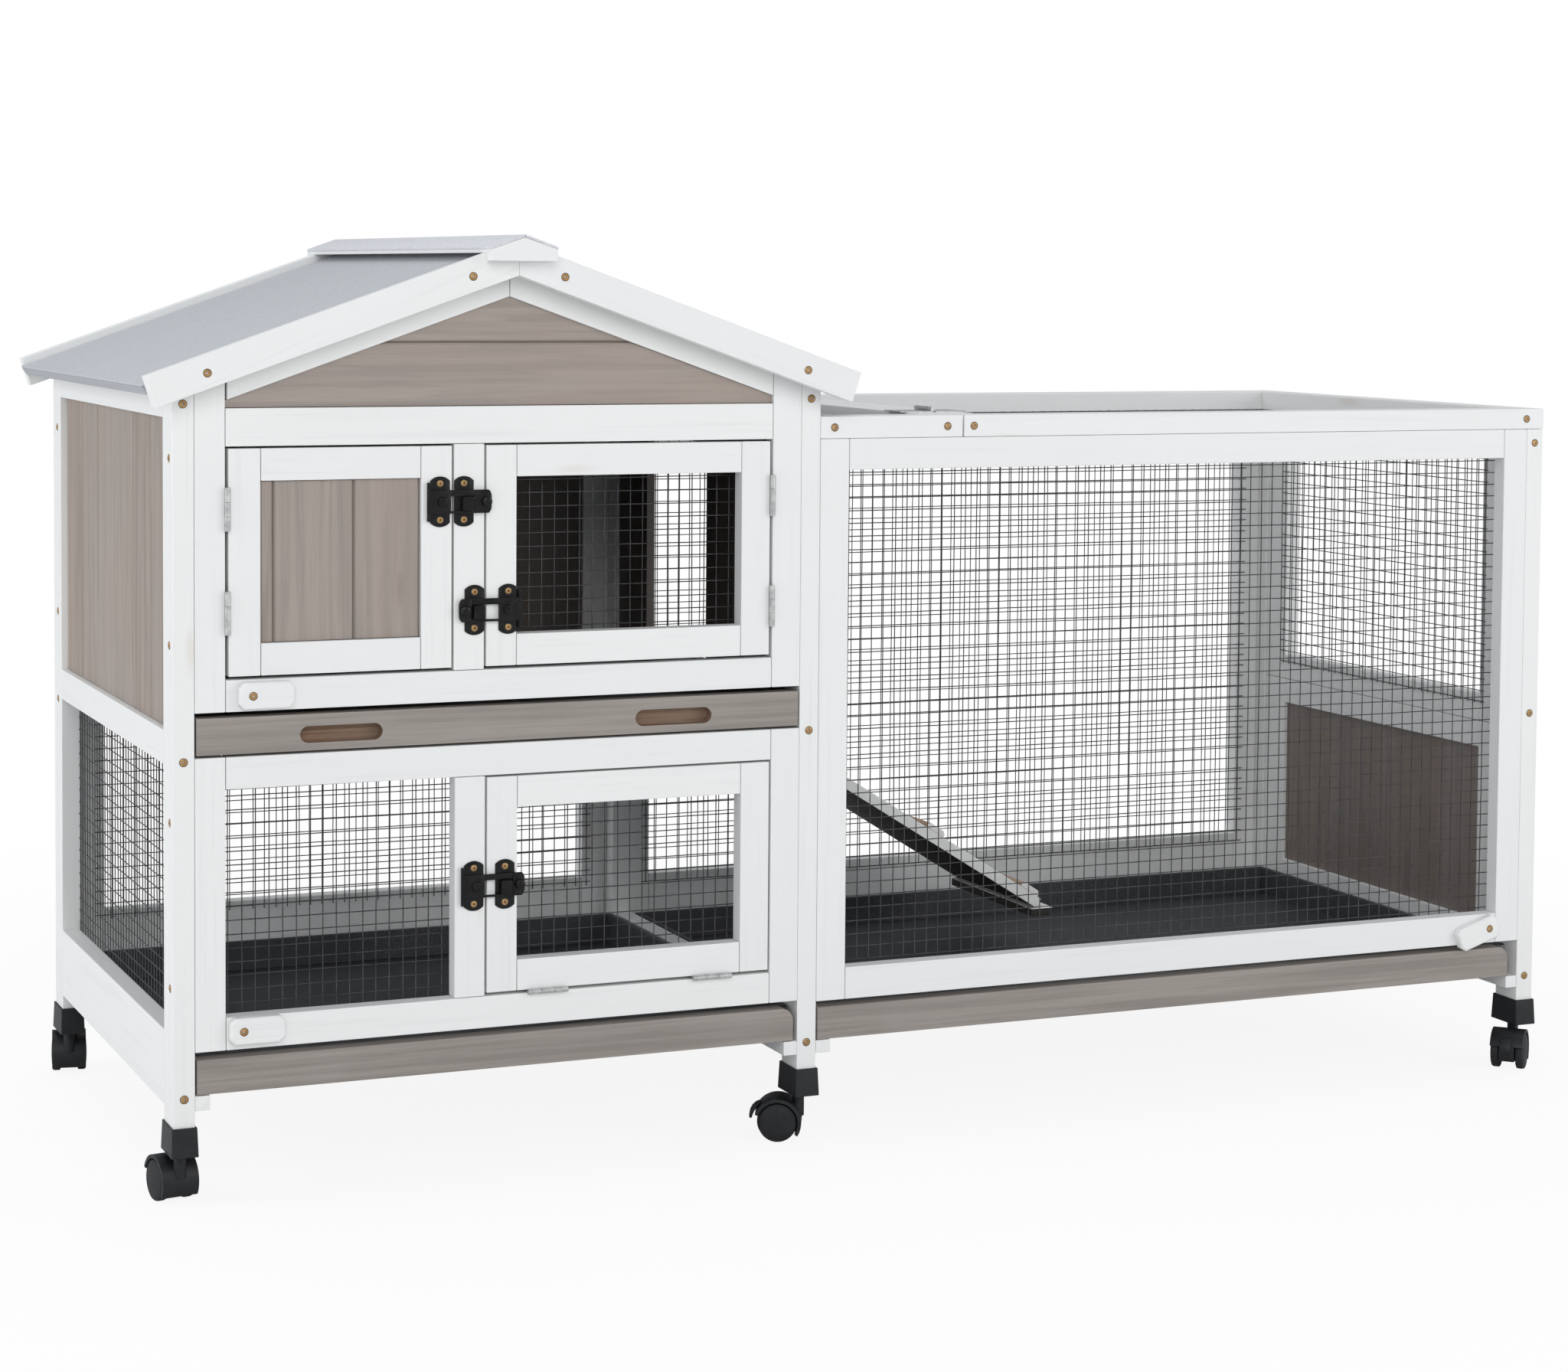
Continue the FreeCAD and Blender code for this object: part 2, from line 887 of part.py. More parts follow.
def side_hinge(x, z, moving, toward_right):
    """A door hinge in the gap beside a stile."""
    origin = FreeCAD.Vector(x, -knuckle_offset, z)
    across = FreeCAD.Vector(1 if toward_right else -1, 0, 0)
    place = (origin, FreeCAD.Vector(0, 1, 0), across, FreeCAD.Vector(0, 0, 1))
    low = hinge_gap / 2 - leaf_thickness if moving else -hinge_gap / 2
    return hinge_half(place, low, leaf_depth, moving)


def drop_hinge_places():
    x0, x1, _, _ = door_span("drop")
    return (x0 + drop_hinge_inset, x1 - drop_hinge_inset - hinge_length)


def drop_hinge(x, moving):
    """A hinge under the drop-down door."""
    origin = FreeCAD.Vector(x, -knuckle_offset, sill_top + hinge_gap / 2)
    up = FreeCAD.Vector(0, 0, 1)
    place = (origin, FreeCAD.Vector(0, 1, 0), up, FreeCAD.Vector(1, 0, 0))
    low = hinge_gap / 2 - leaf_thickness if moving else -hinge_gap / 2
    return hinge_half(place, low, leaf_depth, moving)


def lid_hinge(y, moving):
    """A hinge laid flat across the seam of the run's top."""
    x = run_left + fixed_top_length + lid_gap / 2
    origin = FreeCAD.Vector(x, y, top_face + knuckle_offset)
    away = FreeCAD.Vector(1 if moving else -1, 0, 0)
    place = (origin, away, FreeCAD.Vector(0, 0, 1), FreeCAD.Vector(0, 1, 0))
    return hinge_half(place, -knuckle_offset, lid_leaf_depth, moving)


def make_fixed_leaves():
    left = left_stile_edge + hinge_gap / 2
    right = right_stile_edge - hinge_gap / 2
    leaves = [side_hinge(left, z, False, True) for z in left_hinge_heights]
    leaves += [side_hinge(right, z, False, False) for z in right_hinge_heights]
    leaves += [drop_hinge(x, False) for x in drop_hinge_places()]
    leaves += [lid_hinge(y, False) for y in lid_hinge_places]
    return leaves


# Latches: a plate with lugs, a bar with a window, a keeper with a tongue

def latch_place(x, z, way):
    origin = FreeCAD.Vector(x, 0, z)
    return (
        origin,
        FreeCAD.Vector(way, 0, 0),
        FreeCAD.Vector(0, -1, 0),
        FreeCAD.Vector(0, 0, 1),
    )


def round_ended_plate(place, start):
    """A plate on the wood whose upper and lower ends are flat arcs."""
    half = plate_height / 2
    plate = placed_box(place, start, start + plate_width, 0, plate_thickness, -half, half)
    origin, away, across, along = place
    for way in (1, -1):
        rise = along * way * (half - plate_end_radius)
        centre = origin + away * (start + plate_width / 2) + rise - across * cut_overrun
        thickness = plate_thickness + cut_overrun * 2
        disc = Part.makeCylinder(plate_end_radius, thickness, centre, across)
        reach = half - plate_end_radius
        rest = placed_box(
            place, start, start + plate_width, 0, plate_thickness,
            *sorted((way * reach, -way * half)),
        )
        plate = plate.common(disc.fuse(rest))
    return plate.removeSplitter()


def latch_plate(place):
    """A plate on the wood and the two lugs that hold the bar's barrel."""
    pieces = [round_ended_plate(place, plate_inset)]
    low = bar_height / 2 + running_gap
    for w0, w1 in ((low, low + lug_height), (-low - lug_height, -low)):
        lug = placed_box(place, 0, plate_inset, 0, plate_thickness, w0, w1)
        barrel = placed_pin(place, barrel_radius, 0, pin_offset, w0, w1)
        pieces.append(lug.fuse(barrel).removeSplitter())
    return pieces


def keeper_plate(place, reach, tongue_reach):
    """A plate on the wood and the tongue that stands up from it."""
    plate = round_ended_plate(place, reach)
    half = tongue_height / 2
    tongue = placed_box(
        place, tongue_reach, tongue_reach + tongue_length, plate_thickness, tongue_rise,
        -half, half,
    )
    return [plate, tongue]


def latch_bar(place):
    """A root with the barrel, two strips beside the window, and a tip with the knob."""
    origin, away, across, along = place
    half = bar_height / 2
    gap = window_height / 2
    top = bar_rise + bar_thickness
    window_end = window_start + window_length
    root = placed_box(place, 0, window_start, bar_rise, top, -half, half)
    root = root.fuse(placed_pin(place, barrel_radius, 0, pin_offset, -half, half))
    rivet = origin + away * rivet_place + across * top
    root = root.fuse(Part.makeCylinder(rivet_radius, rivet_rise, rivet, across))
    strips = [
        placed_box(place, window_start, window_end, bar_rise, top, gap, half),
        placed_box(place, window_start, window_end, bar_rise, top, -half, -gap),
    ]
    round_tip = origin + away * (bar_length - half) + across * bar_rise
    end = Part.makeCylinder(half, bar_thickness, round_tip, across)
    end = end.common(
        placed_box(place, window_end, bar_length, bar_rise, top, -half, half)
    )
    knob = origin + away * (bar_length - knob_radius) + across * top
    end = end.fuse(Part.makeCylinder(knob_radius, knob_rise, knob, across))
    return [root.removeSplitter(), end.removeSplitter()] + strips


left_latch = latch_place(left_latch_place, left_latch_height, 1)
right_latch = latch_place(right_latch_place, right_latch_height, -1)
low_latch = latch_place(low_latch_place, low_latch_height, 1)


def make_fixed_latch_plates():
    plates = keeper_plate(left_latch, left_keeper_reach, left_tongue_reach)
    plates += keeper_plate(right_latch, right_keeper_reach, right_tongue_reach)
    return plates + latch_plate(low_latch)


def make_solid_door_fittings():
    x = left_stile_edge + hinge_gap / 2
    leaves = [side_hinge(x, z, True, True) for z in left_hinge_heights]
    return leaves + latch_plate(left_latch)


def make_mesh_door_fittings():
    x = right_stile_edge - hinge_gap / 2
    leaves = [side_hinge(x, z, True, False) for z in right_hinge_heights]
    return leaves + latch_plate(right_latch)


def make_drop_door_fittings():
    leaves = [drop_hinge(x, True) for x in drop_hinge_places()]
    return leaves + keeper_plate(low_latch, low_keeper_reach, low_tongue_reach)


# Turn buttons

def button_corners(low, high, z, half):
    cut = button_corner_cut
    return [
        (low + cut, z - half),
        (high - cut, z - half),
        (high, z - half + cut),
        (high, z + half - cut),
        (high - cut, z + half),
        (low + cut, z + half),
        (low, z + half - cut),
        (low, z - half + cut),
    ]


def button_outline(low, high, z, half, y):
    corners = button_corners(low, high, z, half)
    points = [FreeCAD.Vector(a, y, b) for a, b in corners]
    return Part.makePolygon(points + [points[0]])


def turn_button(x, z, angle):
    """A wooden button with cut corners and a bevelled face; it turns near one end."""
    half = button_width / 2
    low, high = x - half, x - half + button_length
    back = -running_gap
    shelf = back - button_thickness + button_bevel
    front = back - button_thickness
    button = Part.makeLoft(
        [
            button_outline(low, high, z, half, shelf),
            button_outline(
                low + button_bevel, high - button_bevel, z, half - button_bevel, front
            ),
        ],
        True,
        True,
    )
    button = button.fuse(prism_y(button_corners(low, high, z, half), shelf, back))
    button.rotate(FreeCAD.Vector(x, 0, z), FreeCAD.Vector(0, -1, 0), math.degrees(angle))
    return [button.removeSplitter()]


# Lid of the run

def make_lid_frame():
    inner_y = rear - top_rail_width
    z0, z1 = run_top, top_face
    return [
        box(lid_left, lid_right, 0, top_rail_width, z0, z1),
        box(lid_left, lid_right, inner_y, rear, z0, z1),
        box(lid_left, lid_left + top_bar_width, top_rail_width, inner_y, z0, z1),
        box(lid_right - top_bar_width, lid_right, top_rail_width, inner_y, z0, z1),
    ]


def make_lid_wire():
    lap = frame_thickness + wire_thickness + running_gap
    inner = run_right - running_gap
    return [
        net_facing_z(
            lid_left + hinge_gap, inner, lap, rear - lap, run_top - wire_thickness
        )
    ]


# Trays

def tray_board(x0, x1, z0, height):
    return box(x0, x1, 0, frame_thickness, z0, z0 + height)


def pull_slot(x, z):
    """A blind slot with round ends, milled into the board's front for the fingers."""
    radius = slot_height / 2
    reach = (slot_length - slot_height) / 2
    depth = slot_depth + cut_overrun
    out = FreeCAD.Vector(0, 1, 0)
    slot = box(x - reach, x + reach, -cut_overrun, slot_depth, z - radius, z + radius)
    for end in (x - reach, x + reach):
        base = FreeCAD.Vector(end, -cut_overrun, z)
        slot = slot.fuse(Part.makeCylinder(radius, depth, base, out))
    return slot


def make_upper_board():
    z = upper_tray_base + upper_board_height / 2 - slot_drop
    board = tray_board(
        inner_left + tray_board_gap, inner_right - tray_board_gap,
        upper_tray_base, upper_board_height,
    )
    board = board.cut(pull_slot(inner_left + left_slot_inset, z))
    return [board.cut(pull_slot(inner_right - right_slot_inset, z))]


def round_corner(x, z):
    """Waste outside a rounded upper right corner at this point."""
    radius = board_corner_radius
    waste = box(
        x - radius, x + cut_overrun, -cut_overrun, frame_thickness + cut_overrun,
        z - radius, z + cut_overrun,
    )
    centre = FreeCAD.Vector(x - radius, -cut_overrun * 2, z - radius)
    depth = frame_thickness + cut_overrun * 4
    return waste.cut(Part.makeCylinder(radius, depth, centre, FreeCAD.Vector(0, 1, 0)))


low_board_right = inner_right - tray_side_gap
run_board_right = run_right - board_corner_radius


def make_low_board():
    board = tray_board(
        inner_left + tray_board_gap, low_board_right, hutch_tray_base, low_board_height
    )
    return [board.cut(round_corner(low_board_right, hutch_tray_base + low_board_height))]


def make_run_board():
    board = tray_board(
        run_left + tray_board_gap, run_board_right, run_tray_base, low_board_height
    )
    return [board.cut(round_corner(run_board_right, run_tray_base + low_board_height))]


def pan_loft(x0, x1, y0, y1, low, high, inset):
    """A block whose foot is smaller than its top by the draft of the walls."""
    draft = tray_taper_width * (high - low) / (low_board_height - tray_rim_drop)
    foot = rectangle(
        x0 + inset + draft, x1 - inset - draft, y0 + inset + draft, y1 - inset - draft
    )
    rim = rectangle(x0 + inset, x1 - inset, y0 + inset, y1 - inset)
    foot.translate(FreeCAD.Vector(0, 0, low))
    rim.translate(FreeCAD.Vector(0, 0, high))
    return Part.makeLoft([foot, rim], True, True)


def tray_pan(x0, x1, z0, z1):
    """A pressed pan with sloping walls and a flat lip round the rim."""
    y0 = frame_thickness
    y1 = tray_rear
    lip_base = z1 - tray_wall
    pan = pan_loft(x0, x1, y0, y1, z0, z1, tray_lip)
    pan = pan.fuse(box(x0, x1, y0, y1, lip_base, z1))
    hollow = pan_loft(x0, x1, y0, y1, z0 + tray_wall, z1, tray_lip + tray_wall)
    return [pan.cut(hollow).removeSplitter()]


def make_upper_pan():
    top = upper_tray_base + upper_board_height - tray_rim_drop
    x0, x1 = inner_left + tray_side_gap, inner_right - tray_side_gap
    return tray_pan(x0, x1, upper_tray_base, top)


def make_low_pan():
    top = hutch_tray_base + low_board_height - tray_rim_drop
    x0, x1 = inner_left + tray_side_gap, inner_right - tray_side_gap
    return tray_pan(x0, x1, hutch_tray_base, top)


def make_run_pan():
    top = run_tray_base + low_board_height - tray_rim_drop
    x0, x1 = run_left + tray_side_gap, run_right - tray_side_gap
    return tray_pan(x0, x1, run_tray_base, top)


def make_runners():
    y0, y1 = post_depth, rear - post_depth
    low = side_board_base
    hutch_top = hutch_tray_base - running_gap
    run_runner_top = run_tray_base - running_gap
    upper_top = upper_tray_base - running_gap
    upper_low = upper_top - runner_height
    wired = frame_thickness + wire_thickness
    end = total_length - frame_thickness
    width = runner_width
    divider = hutch_width - frame_thickness
    return [
        box(frame_thickness, frame_thickness + width, y0, y1, low, hutch_top),
        box(inner_left, frame_thickness + width, 0, y0, low, hutch_top),
        box(divider - width, divider, y0, y1, low, hutch_top),
        box(divider - width, inner_right, 0, y0, low, hutch_top),
        box(run_left, run_left + width, 0, y1, low, run_runner_top),
        box(end - width, end, y0, y1, low, run_runner_top),
        box(end - width, run_right, 0, y0, low, run_runner_top),
        box(wired, wired + width, y0, y1, upper_low, upper_top),
        box(divider - width, divider, y0, y1, upper_low, upper_top),
    ]


# Ramp

def ramp_point(along, above):
    """A point along the ramp's top from its upper end, and above it."""
    length = math.hypot(ramp_base_length, ramp_height)
    run_share = ramp_base_length / length
    drop_share = ramp_height / length
    x = run_left + along * run_share + above * drop_share
    z = ramp_top - along * drop_share + above * run_share
    return (x, z)


def make_ramp():
    length = math.hypot(ramp_base_length, ramp_height)
    heel = ramp_thickness * ramp_height / ramp_base_length
    y0, y1 = ramp_front, ramp_rear
    board = prism_y(
        [
            (run_left, ramp_top),
            ramp_point(length, 0),
            ramp_point(length, -ramp_thickness),
            ramp_point(heel, -ramp_thickness),
        ],
        y0,
        y1,
    )
    toe_x, toe_z = ramp_point(length, -ramp_thickness)
    heel_x = toe_x - ramp_foot_length
    heel_z = toe_z + ramp_foot_length * ramp_height / ramp_base_length
    base = toe_z - ramp_foot_height
    foot = prism_y([(toe_x, toe_z), (heel_x, heel_z), (heel_x, base), (toe_x, base)], y0, y1)
    return [board, foot]


def make_cleats():
    length = math.hypot(ramp_base_length, ramp_height)
    last = length - cleat_foot_gap - cleat_length
    pitch = (last - cleat_start) / (cleat_count - 1)
    cleats = []
    for i in range(cleat_count):
        start = cleat_start + i * pitch
        outline = [
            ramp_point(start, 0),
            ramp_point(start + cleat_length, 0),
            ramp_point(start + cleat_length, cleat_height - cleat_bevel),
            ramp_point(start + cleat_length - cleat_bevel, cleat_height),
            ramp_point(start + cleat_bevel, cleat_height),
            ramp_point(start, cleat_height - cleat_bevel),
        ]
        cleats.append(prism_y(outline, ramp_front, ramp_rear))
    return cleats


# Castors: built with the stem on Z and the wheels trailing along X

def wheel_pair():
    """Two plain discs on one axle."""
    outer = wheel_inner_face + wheel_width
    half = [
        (outer, 0),
        (outer, wheel_radius),
        (wheel_inner_face, wheel_radius),
        (wheel_inner_face, axle_radius),
    ]
    mirrored = [(-y, r) for y, r in reversed(half)]
    outline = half + mirrored
    points = [FreeCAD.Vector(castor_trail, y, r - wheel_drop) for y, r in outline]
    face = Part.Face(Part.makePolygon(points + [points[0]]))
    centre = FreeCAD.Vector(castor_trail, 0, -wheel_drop)
    return face.revolve(centre, FreeCAD.Vector(0, 1, 0), 360)


def across_cylinder(radius, half_width):
    base = FreeCAD.Vector(castor_trail, -half_width, -wheel_drop)
    return Part.makeCylinder(radius, half_width * 2, base, FreeCAD.Vector(0, 1, 0))


def hood():
    """A cover over the wheels, a web for the axle, and the stem."""
    reach = hood_outer_radius * 2
    low = (
        castor_trail + reach * math.cos(hood_low_angle),
        -wheel_drop + reach * math.sin(hood_low_angle),
    )
    high = (
        castor_trail + reach * math.cos(hood_high_angle),
        -wheel_drop + reach * math.sin(hood_high_angle),
    )
    open_side = prism_y(
        [
            (castor_trail, -wheel_drop),
            low,
            (low[0], -wheel_drop - reach),
            (high[0], -wheel_drop - reach),
            high,
        ],
        -hood_outer_radius,
        hood_outer_radius,
    )
    shell = across_cylinder(hood_outer_radius, hood_half_width)
    shell = shell.cut(across_cylinder(hood_inner_radius, hood_outer_radius))
    shell = shell.cut(open_side)
    web = across_cylinder(hood_inner_radius, web_half_width)
    cut_top = -wheel_drop - web_cut_drop
    web = web.cut(
        box(-reach, castor_trail + reach, -reach, reach, cut_top - reach, cut_top)
    )
    boss_top = -socket_height - boss_gap
    base = FreeCAD.Vector(0, 0, boss_top - boss_depth)
    boss = Part.makeCylinder(boss_radius, boss_depth, base)
    stem = Part.makeCylinder(stem_radius, stem_length, FreeCAD.Vector(0, 0, boss_top))
    body = shell.fuse([web, boss, stem])
    body = body.cut(across_cylinder(axle_bore_radius, hood_outer_radius))
    return body.removeSplitter()


def lever_axis():
    """The pedal's pin, just outside the web of the hood."""
    from_axle = hood_inner_radius + running_gap + lever_barrel_radius
    return (
        castor_trail + from_axle * math.cos(lever_angle),
        -wheel_drop + from_axle * math.sin(lever_angle),
    )


def brake_lever():
    """A small pedal behind the hood that presses on the treads."""
    x, z = lever_axis()
    half = web_half_width
    out = FreeCAD.Vector(0, 1, 0)
    barrel = Part.makeCylinder(lever_barrel_radius, half * 2, FreeCAD.Vector(x, -half, z), out)
    pad = prism_y(
        [
            (x, z + lever_barrel_radius),
            (x + lever_length, z + lever_barrel_radius - lever_drop),
            (x + lever_length, z + lever_barrel_radius - lever_drop - lever_thickness),
            (x, z - lever_barrel_radius),
        ],
        -half,
        half,
    )
    return barrel.fuse(pad).removeSplitter()


# Where each castor points, as the angle of its trail from +X
castors = {
    "front_left": (0, 0, math.radians(99.8)),
    "front_middle": (inner_right, 0, math.radians(155.0)),
    "front_right": (run_right, 0, math.radians(225.0)),
    "back_left": (0, rear - post_depth, math.radians(79.2)),
    "back_middle": (inner_right, rear - post_depth, math.radians(96.0)),
    "back_right": (run_right, rear - post_depth, math.radians(108.0)),
}
braked = ("front_left", "front_middle", "front_right")


def place_castor(shape, corner):
    left, front, heading = castors[corner]
    placed = shape.copy()
    origin = FreeCAD.Vector(0, 0, 0)
    placed.rotate(origin, FreeCAD.Vector(0, 0, 1), math.degrees(heading))
    placed.translate(FreeCAD.Vector(left + post_width / 2, front + post_depth / 2, 0))
    return placed


nodes = {
    "corner_posts": make_posts(),
    "leg_sockets": make_sockets(),
    "hutch_front_frame": make_front_frame(),
    "gable_boards": make_gable_boards(),
    "side_frames": make_side_frames(),
    "side_boards": make_side_boards(),
    "back_frame": make_back_frame(),
    "back_boards": make_back_boards(),
    "run_frames": make_run_frames(),
    "run_end_frame": make_end_frame(),
    "run_end_boards": make_end_boards(),
    "fixed_wire": make_fixed_wire(),
    "roof_panels": make_roof_panels(),
    "roof_felt": make_roof_felt(),
    "barge_boards": make_barge_boards(),
    "ridge_cap": make_ridge_cap(),
    "tray_runners": make_runners(),
    "ramp_board": make_ramp(),
    "ramp_cleats": make_cleats(),
    "fixed_hinge_leaves": make_fixed_leaves(),
    "fixed_latch_plates": make_fixed_latch_plates(),
    "solid_door_frame": make_door_frame("solid"),
    "solid_door_slats": make_door_slats(),
    "solid_door_fittings": make_solid_door_fittings(),
    "mesh_door_frame": make_door_frame("mesh"),
    "mesh_door_wire": make_door_wire("mesh"),
    "mesh_door_fittings": make_mesh_door_fittings(),
    "drop_door_frame": make_door_frame("drop"),
    "drop_door_wire": make_door_wire("drop"),
    "drop_door_fittings": make_drop_door_fittings(),
    "lid_frame": make_lid_frame(),
    "lid_wire": make_lid_wire(),
    "lid_hinge_leaves": [lid_hinge(y, True) for y in lid_hinge_places],
    "left_latch_bar": latch_bar(left_latch),
    "right_latch_bar": latch_bar(right_latch),
    "low_latch_bar": latch_bar(low_latch),
    "upper_button": turn_button(upper_button_place, upper_button_height, 0),
    "low_button": turn_button(low_button_place, low_button_height, 0),
    "run_button": turn_button(
        run_button_place, run_button_height, math.pi + run_button_tilt
    ),
    "upper_tray_board": make_upper_board(),
    "upper_tray_pan": make_upper_pan(),
    "low_tray_board": make_low_board(),
    "low_tray_pan": make_low_pan(),
    "run_tray_board": make_run_board(),
    "run_tray_pan": make_run_pan(),
}
for corner in castors:
    nodes["castor_hood_" + corner] = [place_castor(hood(), corner)]
    nodes["castor_wheels_" + corner] = [place_castor(wheel_pair(), corner)]
for corner in braked:
    nodes["brake_lever_" + corner] = [place_castor(brake_lever(), corner)]

shapes = {}
for node, pieces in nodes.items():
    shapes[node] = Part.makeCompound(pieces) if len(pieces) > 1 else pieces[0]

# The origin goes to the middle of the whole part's box, on the floor
everything = Part.makeCompound(list(shapes.values())).optimalBoundingBox()
shift = FreeCAD.Vector(
    -(everything.XMin + everything.XMax) / 2,
    -(everything.YMin + everything.YMax) / 2,
    -everything.ZMin,
)
for node, shape in shapes.items():
    shape.translate(shift)
    shape.exportStep("parts/" + node + ".step")
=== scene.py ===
import json
import math
import random

import bmesh
import bpy
from mathutils import Matrix, Vector


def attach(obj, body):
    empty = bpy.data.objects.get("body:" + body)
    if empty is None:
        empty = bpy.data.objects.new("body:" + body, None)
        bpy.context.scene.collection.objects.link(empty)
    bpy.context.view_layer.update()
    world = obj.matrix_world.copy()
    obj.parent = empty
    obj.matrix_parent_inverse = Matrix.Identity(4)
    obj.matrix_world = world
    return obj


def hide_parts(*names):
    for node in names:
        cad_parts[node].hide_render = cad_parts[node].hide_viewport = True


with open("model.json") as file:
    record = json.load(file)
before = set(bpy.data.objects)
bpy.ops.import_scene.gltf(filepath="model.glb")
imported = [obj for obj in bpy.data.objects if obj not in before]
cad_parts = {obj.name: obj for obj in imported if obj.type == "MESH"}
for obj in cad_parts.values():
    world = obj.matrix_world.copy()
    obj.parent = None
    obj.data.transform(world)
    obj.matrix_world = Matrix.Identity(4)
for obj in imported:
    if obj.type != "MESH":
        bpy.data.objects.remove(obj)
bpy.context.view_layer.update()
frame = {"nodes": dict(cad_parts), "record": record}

MM = 0.001
CLOSE = 1e-4
LEFT = (-1, 0, 0)
RIGHT = (1, 0, 0)
FRONT = (0, -1, 0)
BACK = (0, 1, 0)
UP = (0, 0, 1)
rng = random.Random(7)
RECORD = frame["record"]
BODY_OF = {n: b for b, ns in RECORD["behaviour"]["bodies"].items() for n in ns}
JOINTS = {j["name"]: j for j in RECORD["behaviour"]["joints"]}


# Shader maths

class S:
    """A shader value with ordinary arithmetic."""

    def __init__(self, tree, socket):
        self.tree = tree
        self.socket = socket

    def math(self, op, *others):
        """A maths node with this value and others as its inputs."""
        node = self.tree.nodes.new("ShaderNodeMath")
        node.operation = op
        for i, v in enumerate((self,) + others):
            put(self.tree, node.inputs[i], v)
        return S(self.tree, node.outputs[0])

    def __add__(self, other):
        return self.math("ADD", other)

    def __mul__(self, other):
        return self.math("MULTIPLY", other)

    __radd__ = __add__

    def __rsub__(self, other):
        return self * -1.0 + other

    def step(self, low, high):
        """0 below low, 1 above high, smooth between."""
        return node_of(self.tree, "ShaderNodeMapRange", {
            "Value": self, "From Min": low, "From Max": high,
        }, out="Result", interpolation_type="SMOOTHSTEP")


def put(tree, socket, value):
    """Links a shader value to a socket, or sets a plain value."""
    if isinstance(value, S):
        tree.links.new(value.socket, socket)
    else:
        socket.default_value = value


def node_of(tree, kind, inputs=(), out=0, **settings):
    """Any other node: its settings, its inputs and the output wanted."""
    node = tree.nodes.new(kind)
    for k, v in settings.items():
        setattr(node, k, v)
    for k, v in dict(inputs).items():
        put(tree, node.inputs[k], v)
    return S(tree, node.outputs[out])


def mix_colour(tree, factor, a, b, blend="MIX"):
    """Colour a, turning to b as the factor goes from 0 to 1."""
    node = tree.nodes.new("ShaderNodeMix")
    node.data_type = "RGBA"
    node.blend_type = blend
    put(tree, node.inputs[0], factor)
    for index, v in ((6, a), (7, b)):
        if isinstance(v, S):
            tree.links.new(v.socket, node.inputs[index])
        else:
            node.inputs[index].default_value = (*v, 1.0)
    return S(tree, node.outputs[2])


def noise(tree, where, scale, detail=2.0, roughness=0.5):
    """Soft spots from 0 to 1, finer with a larger scale."""
    return node_of(tree, "ShaderNodeTexNoise", {
        "Vector": where, "Scale": scale, "Detail": detail, "Roughness": roughness,
    }, out="Fac")


def stretch(tree, where, factors):
    """Coordinates multiplied axis by axis, so that spots become lines."""
    return node_of(tree, "ShaderNodeVectorMath", {0: where, 1: factors}, operation="MULTIPLY")


def grain_place(tree):
    """Coordinates along, across and through the board, in metres."""
    return node_of(tree, "ShaderNodeAttribute", out="Vector", attribute_name="grain")


def tone_value(tree):
    """Each board's own number from 0 to 1."""
    return node_of(tree, "ShaderNodeAttribute", out="Fac", attribute_name="tone")


def object_place(tree):
    """Coordinates in the object's own space, in metres."""
    return node_of(tree, "ShaderNodeTexCoord", out="Object")


def clouds(tree, scale, low, high, a, b):
    """Soft spots over the object, and colour a turning to b from low to high in them."""
    cloud = noise(tree, object_place(tree), scale, 3.0)
    return cloud, mix_colour(tree, cloud.step(low, high), a, b)


def knots(tree, place, factors, reach):
    """1 in the middle of scattered knots, and 0 past their reach."""
    away = node_of(tree, "ShaderNodeTexVoronoi", {
        "Vector": stretch(tree, place, factors), "Scale": 1.0,
    }, out="Distance")
    return 1.0 - away.step(0.02, reach)


def material(build):
    """A new material, named after the function that makes its nodes."""
    m = bpy.data.materials.new(build.__name__)
    m.use_nodes = True
    tree = m.node_tree
    shader = tree.nodes["Principled BSDF"]
    build(tree, shader)
    return m


def set_in(shader, **values):
    """Sets the shader's inputs by name, with _ in place of spaces."""
    for key, v in values.items():
        put(shader.id_data, shader.inputs[key.replace("_", " ")], v)


def base_colour(tree, shader):
    """The colour that the shader has so far."""
    return S(tree, shader.inputs["Base Color"].links[0].from_socket)


def add_bump(tree, shader, height, distance, strength):
    """Small relief from a height value, distance metres deep."""
    normal = node_of(tree, "ShaderNodeBump", {
        "Height": height, "Distance": distance, "Strength": strength,
    }, out="Normal")
    tree.links.new(normal.socket, shader.inputs["Normal"])


def white_paint(tree, sh):
    """Thin white paint that lets the grain and a few knots through."""
    place = grain_place(tree)
    tone = tone_value(tree)
    lines = noise(tree, stretch(tree, place, (1.6, 60.0, 60.0)), 2.6, 5.0, 0.6)
    fine = noise(tree, stretch(tree, place, (9.0, 330.0, 330.0)), 2.0, 3.0, 0.6)
    cloud = noise(tree, place, 7.0, 3.0)
    colour = mix_colour(tree, lines.step(0.52, 0.74) * 0.45, (0.81, 0.81, 0.80), (0.70, 0.705, 0.70))
    colour = mix_colour(tree, fine.step(0.58, 0.8) * 0.30, colour, (0.66, 0.66, 0.65))
    colour = mix_colour(tree, cloud.step(0.45, 0.75) * 0.25, colour, (0.77, 0.765, 0.745))
    colour = mix_colour(tree, tone * 0.35, colour, (0.74, 0.75, 0.76))
    knot = knots(tree, place, (3.2, 15.0, 15.0), 0.10)
    colour = mix_colour(tree, knot * 0.30, colour, (0.60, 0.53, 0.44))
    set_in(sh, Base_Color=colour, Roughness=0.42 + lines * 0.16)
    add_bump(tree, sh, lines * 0.6 + fine * 0.4, 0.00035, 0.55)


